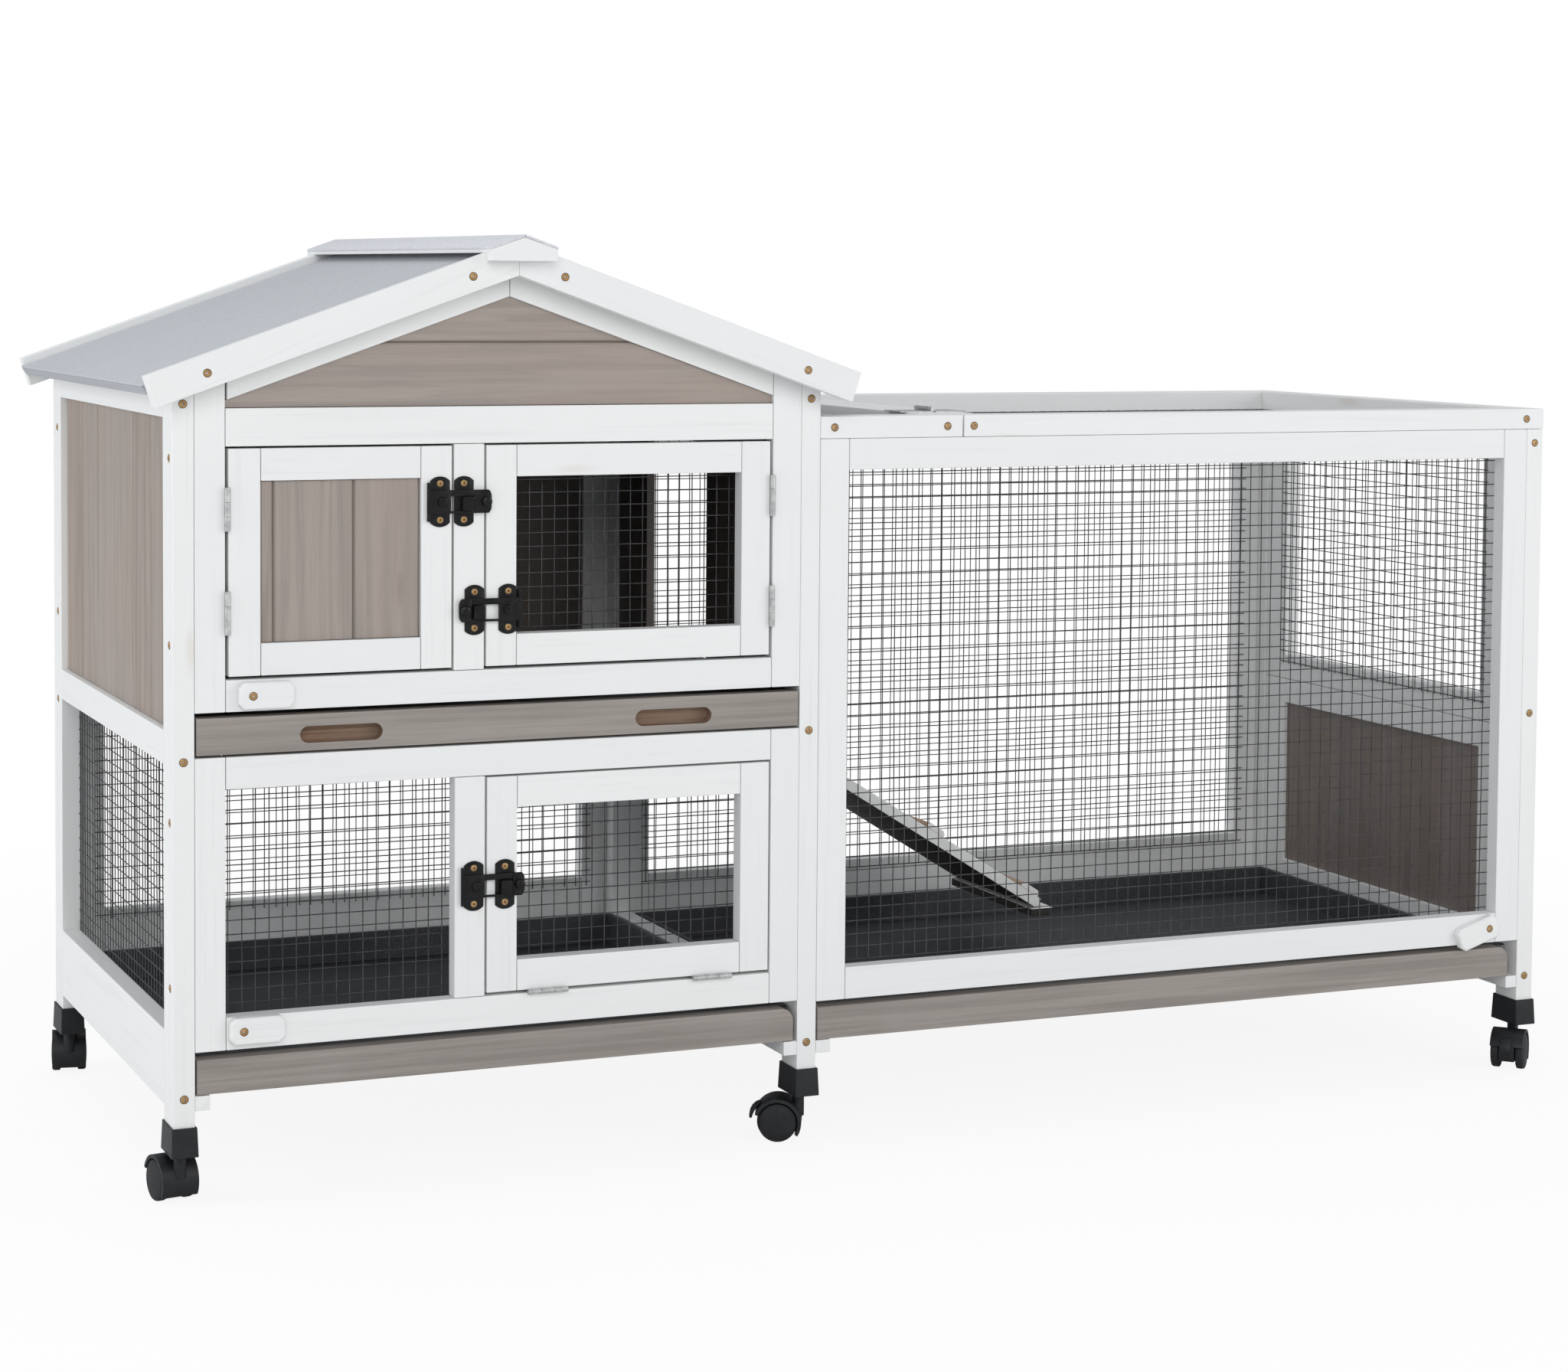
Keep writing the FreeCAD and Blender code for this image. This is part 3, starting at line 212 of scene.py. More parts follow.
def taupe_stain(tree, sh):
    """Grey-brown stain with dark grain lines, lighter patches and knots."""
    place = grain_place(tree)
    tone = tone_value(tree)
    wave = noise(tree, stretch(tree, place, (1.0, 16.0, 16.0)), 2.2, 2.0)
    warped = node_of(tree, "ShaderNodeVectorMath", {
        0: stretch(tree, place, (1.1, 34.0, 34.0)), 1: wave,
    }, operation="ADD")
    lines = noise(tree, warped, 3.0, 6.0, 0.62)
    fine = noise(tree, stretch(tree, place, (10.0, 420.0, 420.0)), 2.0, 4.0, 0.65)
    cloud = noise(tree, stretch(tree, place, (3.0, 9.0, 9.0)), 2.0, 3.0)
    colour = mix_colour(tree, lines.step(0.36, 0.66), (0.345, 0.288, 0.252), (0.245, 0.205, 0.180))
    colour = mix_colour(tree, fine.step(0.50, 0.78) * 0.45, colour, (0.16, 0.132, 0.115))
    colour = mix_colour(tree, cloud.step(0.4, 0.7) * 0.45, colour, (0.33, 0.25, 0.195))
    colour = mix_colour(tree, tone * 0.40, colour, (0.36, 0.32, 0.295))
    knot = knots(tree, place, (2.6, 13.0, 13.0), 0.09)
    colour = mix_colour(tree, knot * 0.55, colour, (0.13, 0.085, 0.06))
    set_in(sh, Base_Color=colour, Roughness=0.52 + fine * 0.2)
    add_bump(tree, sh, lines * 0.5 + fine * 0.5, 0.0004, 0.6)


def tray_stain(tree, sh):
    """The trays' front boards: the same stain, greyer."""
    place = grain_place(tree)
    lines = noise(tree, stretch(tree, place, (0.9, 40.0, 40.0)), 3.0, 6.0, 0.62)
    fine = noise(tree, stretch(tree, place, (9.0, 420.0, 420.0)), 2.0, 4.0, 0.65)
    cloud = noise(tree, stretch(tree, place, (3.0, 6.0, 6.0)), 2.0, 3.0)
    colour = mix_colour(tree, lines.step(0.36, 0.66), (0.315, 0.283, 0.255), (0.235, 0.208, 0.187))
    colour = mix_colour(tree, fine.step(0.50, 0.78) * 0.40, colour, (0.165, 0.145, 0.130))
    colour = mix_colour(tree, cloud.step(0.45, 0.75) * 0.40, colour, (0.35, 0.32, 0.295))
    set_in(sh, Base_Color=colour, Roughness=0.50 + fine * 0.2)
    add_bump(tree, sh, lines * 0.5 + fine * 0.5, 0.0004, 0.6)


def taupe_painted_shade(tree, sh):
    """The same stain on the faces inside the hutch, darkened with painted shade."""
    taupe_stain(tree, sh)
    # Mixed towards near-black: painted shade on the inner faces.
    colour = mix_colour(tree, 0.72, base_colour(tree, sh), (0.030, 0.022, 0.016))
    set_in(sh, Base_Color=colour)


def taupe_far_painted_shade(tree, sh):
    """The same stain at the run's far end, darkened as painted shade where less light comes in."""
    taupe_stain(tree, sh)
    # Mixed towards near-black: painted shade on the end boards' inner faces.
    colour = mix_colour(tree, 0.32, base_colour(tree, sh), (0.030, 0.024, 0.020))
    set_in(sh, Base_Color=colour)


def roof_felt(tree, sh, shade=(0.92, 0.92, 0.93)):
    """Grey mineral felt: fine grit in mixed greys."""
    place = object_place(tree)
    grit = noise(tree, place, 900.0, 2.0, 0.7)
    speck = node_of(tree, "ShaderNodeTexVoronoi", {"Vector": place, "Scale": 700.0}, out="Color")
    speck_value = node_of(tree, "ShaderNodeSeparateColor", {"Color": speck}, out="Red")
    cloud = noise(tree, place, 9.0, 4.0)
    colour = mix_colour(tree, speck_value, (0.46, 0.48, 0.50), (0.58, 0.60, 0.62))
    colour = mix_colour(tree, grit.step(0.58, 0.72) * 0.5, colour, (0.27, 0.29, 0.315))
    colour = mix_colour(tree, cloud * 0.25, colour, (0.58, 0.59, 0.60))
    colour = mix_colour(tree, 1.0, colour, shade, "MULTIPLY")
    set_in(sh, Base_Color=colour, Roughness=0.9)
    add_bump(tree, sh, grit * 0.6 + speck_value * 0.4, 0.0005, 0.7)


def cap_felt(tree, sh):
    """The cap's own strip, a lighter batch."""
    roof_felt(tree, sh, (1.22, 1.19, 1.20))


def fold_felt(tree, sh):
    """The felt where it is bent over the eaves, darker and rougher."""
    roof_felt(tree, sh, (0.76, 0.76, 0.78))


def black_lacquer(tree, sh):
    """Stamped steel with a glossy black coat that thins on high spots."""
    cloud, colour = clouds(tree, 90.0, 0.3, 0.7, (0.004, 0.004, 0.0045), (0.009, 0.009, 0.0095))
    fine = noise(tree, object_place(tree), 700.0, 3.0)
    colour = mix_colour(tree, fine.step(0.66, 0.80) * 0.4, colour, (0.030, 0.030, 0.032))
    set_in(sh, Base_Color=colour, Roughness=0.24 + cloud * 0.16, Specular_IOR_Level=0.22)
    add_bump(tree, sh, fine, 0.00008, 0.4)


def black_plastic(tree, sh):
    """The castors' hoods, pedals and sockets."""
    cloud, colour = clouds(tree, 40.0, 0.3, 0.7, (0.008, 0.0085, 0.0095), (0.015, 0.016, 0.018))
    fine = noise(tree, object_place(tree), 1500.0, 2.0)
    set_in(sh, Base_Color=colour, Roughness=0.40 + cloud * 0.18, Specular_IOR_Level=0.35)
    add_bump(tree, sh, fine, 0.0001, 0.4)


def tyre_plastic(tree, sh):
    """The castors' wheels, a duller black."""
    cloud, colour = clouds(tree, 60.0, 0.3, 0.7, (0.0075, 0.008, 0.009), (0.016, 0.0165, 0.0185))
    fine = noise(tree, object_place(tree), 900.0, 2.0)
    set_in(sh, Base_Color=colour, Roughness=0.48 + cloud * 0.2, Specular_IOR_Level=0.35)
    add_bump(tree, sh, fine, 0.00012, 0.5)


def black_wire(tree, sh):
    """The coated wire of the nets."""
    cloud, colour = clouds(tree, 60.0, 0.35, 0.65, (0.020, 0.020, 0.022), (0.045, 0.045, 0.048))
    set_in(sh, Base_Color=colour, Roughness=0.34 + cloud * 0.15)


def tray_plastic(tree, sh):
    """Dark speckled plastic of the tray pans."""
    place = object_place(tree)
    grit = noise(tree, place, 520.0, 3.0, 0.7)
    cloud = noise(tree, place, 6.0, 4.0)
    colour = mix_colour(tree, grit.step(0.45, 0.65), (0.018, 0.020, 0.024), (0.044, 0.047, 0.054))
    colour = mix_colour(tree, grit.step(0.68, 0.76) * 0.5, colour, (0.17, 0.18, 0.20))
    colour = mix_colour(tree, cloud.step(0.35, 0.65) * 0.6, colour, (0.026, 0.028, 0.032))
    set_in(sh, Base_Color=colour, Roughness=0.42 + cloud * 0.25)
    add_bump(tree, sh, grit, 0.0006, 0.7)


def brass(tree, sh):
    """Brassy screw heads."""
    cloud, colour = clouds(tree, 260.0, 0.3, 0.7, (0.50, 0.31, 0.13), (0.34, 0.20, 0.09))
    set_in(sh, Base_Color=colour, Roughness=0.34 + cloud * 0.2, Metallic=0.85)


def zinc(tree, sh):
    """Plated steel of the hinges."""
    cloud, colour = clouds(tree, 180.0, 0.3, 0.7, (0.62, 0.62, 0.61), (0.42, 0.42, 0.42))
    set_in(sh, Base_Color=colour, Roughness=0.32 + cloud * 0.2, Metallic=0.8)


def raw_wood(tree, sh):
    """Brown wood that the paint missed, inside the tray boards' pull slot."""
    place = grain_place(tree)
    lines = noise(tree, stretch(tree, place, (1.5, 70.0, 70.0)), 3.0, 5.0, 0.6)
    cloud = noise(tree, place, 30.0, 3.0)
    colour = mix_colour(tree, lines.step(0.35, 0.68), (0.30, 0.19, 0.125), (0.17, 0.10, 0.065))
    colour = mix_colour(tree, cloud.step(0.4, 0.7) * 0.5, colour, (0.25, 0.185, 0.14))
    set_in(sh, Base_Color=colour, Roughness=0.62 + lines * 0.2)
    add_bump(tree, sh, lines, 0.0004, 0.6)


def bare_wood(tree, sh):
    """Pale brown wood, worn clean of paint, on the cleats."""
    raw_wood(tree, sh)
    colour = mix_colour(tree, 0.6, base_colour(tree, sh), (0.50, 0.37, 0.25))
    set_in(sh, Base_Color=colour)


def ramp_painted_shade(tree, sh):
    """The ramp's underside and the edges and bottom of its foot, near-black: painted shade under the
    ramp.
    """
    place = grain_place(tree)
    lines = noise(tree, stretch(tree, place, (1.5, 60.0, 60.0)), 3.0, 5.0, 0.6)
    # Near-black grain: painted shade under the ramp.
    colour = mix_colour(tree, lines, (0.012, 0.011, 0.010), (0.030, 0.027, 0.024))
    set_in(sh, Base_Color=colour, Roughness=0.55 + lines * 0.2)
    add_bump(tree, sh, lines, 0.0003, 0.5)


def screw_painted_shade(tree, sh):
    """Painted shade on the seat round a screw and on the walls of its cross."""
    cloud = noise(tree, object_place(tree), 90.0)
    # Dark brown: painted shade at the head's edge and in the recess.
    colour = mix_colour(tree, cloud, (0.05, 0.04, 0.032), (0.09, 0.07, 0.055))
    set_in(sh, Base_Color=colour, Roughness=0.8)


MATERIALS = {key: material(build) for key, build in {
    "white": white_paint,
    "taupe": taupe_stain,
    "tray_board": tray_stain,
    "taupe_painted_shade": taupe_painted_shade,
    "taupe_far_painted_shade": taupe_far_painted_shade,
    "felt": roof_felt,
    "cap_felt": cap_felt,
    "fold_felt": fold_felt,
    "black": black_plastic,
    "hasp": black_lacquer,
    "tyre": tyre_plastic,
    "wire": black_wire,
    "tray": tray_plastic,
    "brass": brass,
    "zinc": zinc,
    # painted shade for the screws' seats and crosses
    "dark": screw_painted_shade,
    "raw": raw_wood,
    "bare": bare_wood,
    "ramp_shade": ramp_painted_shade,
}.items()}


# Geometry helpers

# Widths of rounded edges, in metres
BOARD_EDGE = 0.0009
PANEL_EDGE = 0.0004
CLEAT_EDGE = 0.0008
BUTTON_EDGE = 0.0012
PLATE_EDGE = 0.00035
STRAP_EDGE = 0.0005
TONGUE_EDGE = 0.0005
TONGUE_FOOT_EDGE = 0.0006
PEDAL_EDGE = 0.0008
HOOD_EDGE = 0.0005
SOCKET_EDGE = 0.0022
PAN_EDGE = 0.0009
FELT_EDGE = 0.0012
FOLD_EDGE = 0.0026
CAP_EDGE = 0.0007

SEAM = 0.5 * MM
FLAT_ANGLE = math.radians(0.5)
SHARP_ANGLE = 0.3
GRAIN_SHIFT = 9
SLOPE_LEAST_RUN = 0.1
SLOPE_LEAST_RISE = 0.05


def span(corners):
    """Low and high corner of a box round some points."""
    low = Vector([min(c[i] for c in corners) for i in range(3)])
    high = Vector([max(c[i] for c in corners) for i in range(3)])
    return low, high


def solids(node):
    """The closed solids of a CAD node, each as corners and faces.

    Faces are gathered until each of their edges has been met twice.
    """
    mesh = frame["nodes"][node].data
    found, index, faces, loose = [], {}, [], set()
    for poly in mesh.polygons:
        ids = []
        for i in poly.vertices:
            key = tuple(round(c, 6) for c in mesh.vertices[i].co)
            ids.append(index.setdefault(key, len(index)))
        faces.append(ids)
        for a, b in zip(ids, ids[1:] + ids[:1]):
            loose ^= {(min(a, b), max(a, b))}
        if not loose:
            found.append(([Vector(k) for k in index], faces))
            index, faces = {}, []
    return found


def new_object(name, bm, mats, body=None, replaced=()):
    """An object from a bmesh, with its body and the nodes that it replaces."""
    mesh = bpy.data.meshes.new(name)
    bm.to_mesh(mesh)
    bm.free()
    obj = bpy.data.objects.new(name, mesh)
    bpy.context.scene.collection.objects.link(obj)
    for m in mats:
        mesh.materials.append(MATERIALS[m])
    if body:
        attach(obj, body)
    if replaced:
        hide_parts(*replaced)
    return obj


def stand_in(name, node, bm, mats):
    """An object in place of a CAD node, on the same body."""
    return new_object(name, bm, mats, BODY_OF[node], [node])


def smooth_by_angle(obj, degrees=40):
    """Smooth shading, with the edges sharper than an angle left sharp."""
    obj.data.shade_smooth()
    obj.data.set_sharp_from_angle(angle=math.radians(degrees))
    return obj


def longest_edge(corners):
    """Direction of a board's longest side: along its box, or down its slope."""
    low, high = span(corners)
    size = list(high - low)
    longest = max(size)
    best = Vector([1.0 if i == size.index(longest) else 0.0 for i in range(3)])
    length = 0.9 * longest
    for a in corners:
        for b in corners:
            d = b - a
            leans = abs(d.x) > SLOPE_LEAST_RUN and SLOPE_LEAST_RISE < abs(d.z) < abs(d.x)
            if leans and abs(d.y) < 1e-6 and d.length > length:
                length = d.length
                best = d.normalized()
    return best


def add_with_grain(target, bm, along, mat):
    """Copies a board into a target, with its own place in the grain and its own tone."""
    side = along.cross(Vector(BACK if abs(along.y) < 0.7 else RIGHT)).normalized()
    up = along.cross(side)
    offset = Vector([rng.uniform(0, GRAIN_SHIFT) for _ in range(3)])
    tone = rng.random()
    layers = target.verts.layers
    grain_layer = layers.float_vector.get("grain") or layers.float_vector.new("grain")
    tone_layer = layers.float.get("tone") or layers.float.new("tone")
    copies = {}
    for v in bm.verts:
        copy = target.verts.new(v.co)
        copy[grain_layer] = Vector((v.co.dot(along), v.co.dot(side), v.co.dot(up))) + offset
        copy[tone_layer] = tone
        copies[v] = copy
    for f in bm.faces:
        target.faces.new([copies[v] for v in f.verts]).material_index = mat


def add_board(target, corners, width=BOARD_EDGE, segments=2, mat=0, grain=None, faces=None):
    """A board with rounded edges: the hull of its corners, or the faces given."""
    bm = bmesh.new()
    verts = [bm.verts.new(c) for c in corners]
    if faces is None:
        bmesh.ops.convex_hull(bm, input=verts)
        bmesh.ops.delete(bm, geom=[v for v in bm.verts if not v.link_faces], context="VERTS")
    else:
        for f in faces:
            bm.faces.new([verts[i] for i in f])
    bmesh.ops.recalc_face_normals(bm, faces=bm.faces)
    bmesh.ops.dissolve_limit(bm, angle_limit=FLAT_ANGLE, verts=bm.verts, edges=bm.edges)
    if width:
        edges = [e for e in bm.edges if e.is_manifold and e.calc_face_angle(0) > SHARP_ANGLE]
        bmesh.ops.bevel(
            bm, geom=edges, offset=width, segments=segments, profile=0.6,
            affect="EDGES", clamp_overlap=True,
        )
    along = longest_edge(corners) if grain is None else Vector(grain)
    add_with_grain(target, bm, along, mat)
    bm.free()


def ring(bm, centre, side, up, reach, sides):
    """Points round a centre, in the plane of side and up."""
    points = []
    for i in range(sides):
        a = math.tau * i / sides
        points.append(bm.verts.new(centre + (side * math.cos(a) + up * math.sin(a)) * reach))
    return points


def join_rings(bm, rings, ends=(0, -1)):
    """Faces between neighbouring rings, given back gap by gap, and over the ends."""
    gaps = []
    for a, b in zip(rings, rings[1:]):
        faces = []
        for i in range(len(a)):
            n = (i + 1) % len(a)
            faces.append(bm.faces.new((a[i], a[n], b[n], b[i])))
        gaps.append(faces)
    for end in ends:
        bm.faces.new(rings[end])
    return gaps


def lathe(bm, centre, axis, profile, sides):
    """A turned form: profile holds distances along the axis and from it."""
    axis = Vector(axis).normalized()
    side = axis.orthogonal().normalized()
    up = axis.cross(side)
    join_rings(bm, [
        ring(bm, centre + axis * along, side, up, reach, sides) for along, reach in profile
    ])


def eased(corners):
    """A little shorter and narrower, so that a joint shows as a thin line."""
    low, high = span(corners)
    size = list(high - low)
    middle = (low + high) / 2
    moved = []
    for corner in corners:
        c = corner.copy()
        for i in range(3):
            if i != size.index(min(size)):
                c[i] += SEAM / 2 if c[i] < middle[i] else -SEAM / 2
        moved.append(c)
    return moved


def boards(node, mat="white", width=BOARD_EDGE, grain=None, keep_faces=False, shape=eased):
    """A board for each of the CAD node's solids, after the shape function."""
    bm = bmesh.new()
    for corners, faces in solids(node):
        add_board(bm, shape(corners), width, grain=grain, faces=faces if keep_faces else None)
    return stand_in("wood_" + node, node, bm, [mat])


def carved(node, mat, width, keep=None, name=None, segments=2):
    """The CAD node's own solids, or those that a test keeps, with rounded edges."""
    bm = bmesh.new()
    for corners, faces in solids(node):
        if keep is None or keep(*span(corners)):
            add_board(bm, corners, width, segments, faces=faces)
    return smooth_by_angle(stand_in(name or "form_" + node, node, bm, [mat]))


def paint_faces(obj, mat, wanted):
    """Give the faces that a test picks another material."""
    index = len(obj.data.materials)
    obj.data.materials.append(MATERIALS[mat])
    for face in obj.data.polygons:
        if wanted(face):
            face.material_index = index


def facing(face, way):
    """Whether a face looks one way, give or take 60 degrees."""
    return face.normal.dot(Vector(way)) > 0.5


# Timber

FELT_DROP = 7.5 * MM
BARGE_RISE = 2.5 * MM
STILE_LEAST_LENGTH = 0.2
DIVIDER_MARGIN = 5 * MM
RIDGE_X = sum(v.x for v in span(solids("ridge_cap")[-1][0])) / 2


def roof_slope():
    """Rise over run of a barge board's upper edge."""
    points = sorted(solids("barge_boards")[0][0], key=lambda c: c.z)
    top = points[-1]
    eave = max(points, key=lambda c: (round(abs(c.x - top.x), 3), c.z))
    outer = [c for c in points if abs(c.x - top.x) > abs(eave.x - top.x) / 2]
    high = max(outer, key=lambda c: c.z)
    return (top.z - high.z) / abs(top.x - high.x)


SLOPE = roof_slope()


def height_over_slope(c):
    """Height of a corner, with the roof's fall from the ridge taken out."""
    return c.z + SLOPE * abs(c.x - RIDGE_X)


def raised(corners, rise):
    """Moves the upper side of a sloping board up or down."""
    heights = [height_over_slope(c) for c in corners]
    middle = (min(heights) + max(heights)) / 2
    return [c + Vector((0, 0, rise if h > middle else 0)) for c, h in zip(corners, heights)]


front_boxes = [span(c) for c, _ in solids("hutch_front_frame")]
APEX = max(high.z for _, high in front_boxes)
HEAD_TOP = max(low.z for low, _ in front_boxes)
STILES = [
    (low, high) for low, high in front_boxes
    if abs(high.z - HEAD_TOP) < CLOSE and high.z - low.z > STILE_LEAST_LENGTH
]
STILE_EDGE = min(abs(x - RIDGE_X) for low, high in STILES for x in (low.x, high.x))


def front_frame_shape(corners):
    """The upper stiles run up to the barge boards and the rakes end between them."""
    low, high = span(corners)
    if (low, high) in STILES:
        tops = [Vector((c.x, c.y, APEX - SLOPE * abs(c.x - RIDGE_X))) for c in corners]
        return eased([t if c.z > HEAD_TOP - CLOSE else c for c, t in zip(corners, tops)])
    if low.z > HEAD_TOP - CLOSE:
        moved = []
        for c in corners:
            over = max(0.0, abs(c.x - RIDGE_X) - STILE_EDGE)
            way = 1 if c.x < RIDGE_X else -1
            moved.append(c + Vector((way * over, 0, SLOPE * over)))
        return eased(moved)
    return eased(corners)


for node in (
    "corner_posts", "side_frames", "back_frame", "run_frames", "run_end_frame", "ridge_cap",
    "tray_runners", "solid_door_frame", "mesh_door_frame", "drop_door_frame", "lid_frame",
):
    boards(node)
boards("hutch_front_frame", shape=front_frame_shape)
boards("barge_boards", shape=lambda corners: raised(corners, BARGE_RISE))
boards("roof_panels", shape=lambda corners: raised(corners, -FELT_DROP))
boards("solid_door_slats", "taupe", PANEL_EDGE, grain=UP)
far_end = boards("run_end_boards", "taupe", PANEL_EDGE, grain=UP)
# The end boards' inner faces get painted shade.
paint_faces(far_end, "taupe_far_painted_shade", lambda f: facing(f, LEFT))
side_wall = boards("side_boards", "taupe", PANEL_EDGE, grain=UP)
divider_x = max(span(c)[0].x for c, _ in solids("side_boards")) - DIVIDER_MARGIN
# The divider's boards and the side wall's inner faces get painted shade.
paint_faces(side_wall, "taupe_painted_shade", lambda f: f.center.x > divider_x or facing(f, RIGHT))
back_wall = boards("back_boards", "taupe", PANEL_EDGE, grain=UP)
# The back boards' inner faces get painted shade.
paint_faces(back_wall, "taupe_painted_shade", lambda f: facing(f, FRONT))
boards("gable_boards", "taupe", PANEL_EDGE, grain=RIGHT)
cleats = boards("ramp_cleats", "bare", CLEAT_EDGE, grain=BACK)
paint_faces(cleats, "white", lambda f: abs(f.normal.y) > 0.7)

RAMP_LEAST_LENGTH = 100 * MM
RAMP_FOOT_HEIGHT = 9 * MM
RAMP_FOOT_START = 6 * MM
RAMP_FOOT_END = 20 * MM


def ramp_shape(corners):
    """The long board as it is, and its foot as a flat strip under the toe."""
    low, high = span(corners)
    if high.x - low.x > RAMP_LEAST_LENGTH:
        return corners
    top = low.z + RAMP_FOOT_HEIGHT
    left, right = high.x - RAMP_FOOT_START, high.x + RAMP_FOOT_END
    middle = (low.x + high.x) / 2
    return [Vector((left if c.x < middle else right, c.y, min(c.z, top))) for c in corners]


ramp = boards("ramp_board", grain=BACK, shape=ramp_shape)
foot_side_top = min(v.co.z for v in ramp.data.vertices) + RAMP_FOOT_HEIGHT - 1 * MM


def is_shaded_under_ramp(face):
    """The faces that take painted shade: the underside, and the foot but for its top."""
    under = face.normal.z < -0.3
    foot_side = face.center.z < foot_side_top and face.normal.z < 0.7
    return under or foot_side


# The underside and the foot's sides take painted shade.
paint_faces(ramp, "ramp_shade", is_shaded_under_ramp)
for node in ("upper_button", "low_button", "run_button"):
    boards(node, width=BUTTON_EDGE)
for node in ("low_tray_board", "run_tray_board"):
    boards(node, "tray_board")


# Welded wire

NET_PITCH = 0.0127
WIRE_RADIUS = 0.00055
WIRE_SIDES = 5
ROW_SHIFT = 0.4
SQUARES_PER_STEP = 3
SWAY_TURN = 6.28
SWAY_STEP = 0.45
SWAY_RANGE = (0.0001, 0.00045)
PITCH_ERROR = 0.00018
BEND_ERROR = 0.00006
DEPTH_ERROR = 0.00012
SKEW = Vector((0.3, 0.5, 0.8))


def add_wire(bm, points):
    """A thin rod through a row of points."""
    direction = (points[-1] - points[0]).normalized()
    side = direction.cross(SKEW).normalized()
    up = direction.cross(side)
    rings = [ring(bm, p, side, up, WIRE_RADIUS, WIRE_SIDES) for p in points]
    for faces in join_rings(bm, rings):
        for face in faces:
            face.smooth = True


def fine_net(bm, low, high):
    """Wires both ways across a net's flat box, each a little bent and out of place."""
    size = [high[i] - low[i] for i in range(3)]
    thin = size.index(min(size))
    u, v = [i for i in range(3) if i != thin]
    middle = (low[thin] + high[thin]) / 2
    for a, b, row in ((u, v, -ROW_SHIFT), (v, u, ROW_SHIFT)):
        count = int(size[b] / NET_PITCH)
        first = low[b] + (size[b] - count * NET_PITCH) / 2
        for k in range(count + 1):
            at = first + k * NET_PITCH + rng.gauss(0, PITCH_ERROR)
            steps = max(2, int(size[a] / (NET_PITCH * SQUARES_PER_STEP)))
            phase = rng.uniform(0, SWAY_TURN)
            sway = rng.uniform(*SWAY_RANGE)
            points = []
            for step in range(steps + 1):
                p = Vector()
                p[a] = low[a] + size[a] * step / steps
                across = at + sway * math.sin(phase + step * SWAY_STEP) + rng.gauss(0, BEND_ERROR)
                p[b] = min(max(across, low[b] + WIRE_RADIUS), high[b] - WIRE_RADIUS)
                p[thin] = middle + row * WIRE_RADIUS * 2 + rng.gauss(0, DEPTH_ERROR)
                points.append(p)
            add_wire(bm, points)


for node in ("fixed_wire", "mesh_door_wire", "drop_door_wire", "lid_wire"):
    net = bmesh.new()
    for corners, _ in solids(node):
        fine_net(net, *span(corners))
    stand_in("wire_" + node, node, net, ["wire"])


# Screws: low domed heads with a cross cut into them

SCREW_RADIUS = 3.4 * MM
SCREW_RISE = 0.7 * MM
SCREW_SIDES = 24

# Gaps between a screw's rings, counted from the outside
PAINTED_SHADE_GAPS = (0, 4)
ROUND_GAPS = (1, 2)


def screw(bm, centre, out, radius):
    """A head on a surface that faces along out, with painted shade on its seat and in its cross."""
    out = Vector(out).normalized()
    side = out.orthogonal().normalized()
    up = out.cross(side)
    twist = rng.uniform(0, math.tau)
    rise = SCREW_RISE * radius / SCREW_RADIUS

    def level(shape, height):
        """Points round the screw at a height, as far out as the shape says."""
        verts = []
        for i in range(SCREW_SIDES):
            a = math.tau * i / SCREW_SIDES
            reach = shape(a)
            place = side * math.cos(a + twist) + up * math.sin(a + twist)
            verts.append(bm.verts.new(centre + place * reach + out * height))
        return verts

    def cross(a):
        """How far the cross reaches, at each angle."""
        return radius * (0.20 + 0.34 * abs(math.cos(2 * a)) ** 4)

    rings = [
        level(lambda a: radius * 1.18, 0.02 * MM),
        level(lambda a: radius * 1.02, 0.04 * MM),
        level(lambda a: radius * 0.96, rise * 0.55),
        level(lambda a: radius * 0.72, rise * 0.95),
        level(cross, rise),
        level(lambda a: cross(a) * 0.6, -rise),
    ]
    # The seat and the cross's walls take painted shade.
    for gap, faces in enumerate(join_rings(bm, rings, ends=())):
        for face in faces:
            face.material_index = 1 if gap in PAINTED_SHADE_GAPS else 0
            face.smooth = gap in ROUND_GAPS
    # The cross's floor takes painted shade too.
    bm.faces.new(rings[-1]).material_index = 1


def screws(name, body, places, radius=SCREW_RADIUS):
    """One object of screws, each place a point and the way that it faces."""
    bm = bmesh.new()
    for centre, out in places:
        screw(bm, Vector(centre), out, radius)
    bmesh.ops.recalc_face_normals(bm, faces=bm.faces)
    # The second material is the screws' painted shade.
    return new_object(name, bm, ["brass", "dark"], body)


TALL_POST_SCREWS = (0.100, 0.407, 0.730)
SHORT_POST_SCREWS = (0.100, 0.385, 0.676)
FRONT_POST_SIDE_SCREWS = (0.200, 0.351, 0.512, 0.681)
BACK_POST_SIDE_SCREWS = (0.400, 0.492, 0.685)
FRONT_POST_SIDE_INSET = 12 * MM
BACK_POST_SIDE_INSET = 1.8 * FRONT_POST_SIDE_INSET
TALL_POSTS_DIFFER = 30 * MM
BARGE_SCREW_SHARES = (0.15, 0.87)


def front_face(node):
    """Boxes of the solids of a node that reach its front plane."""
    boxes = [span(c) for c, _ in solids(node)]
    front = min(low.y for low, _ in boxes)
    return [(low, high) for low, high in boxes if low.y < front + CLOSE]


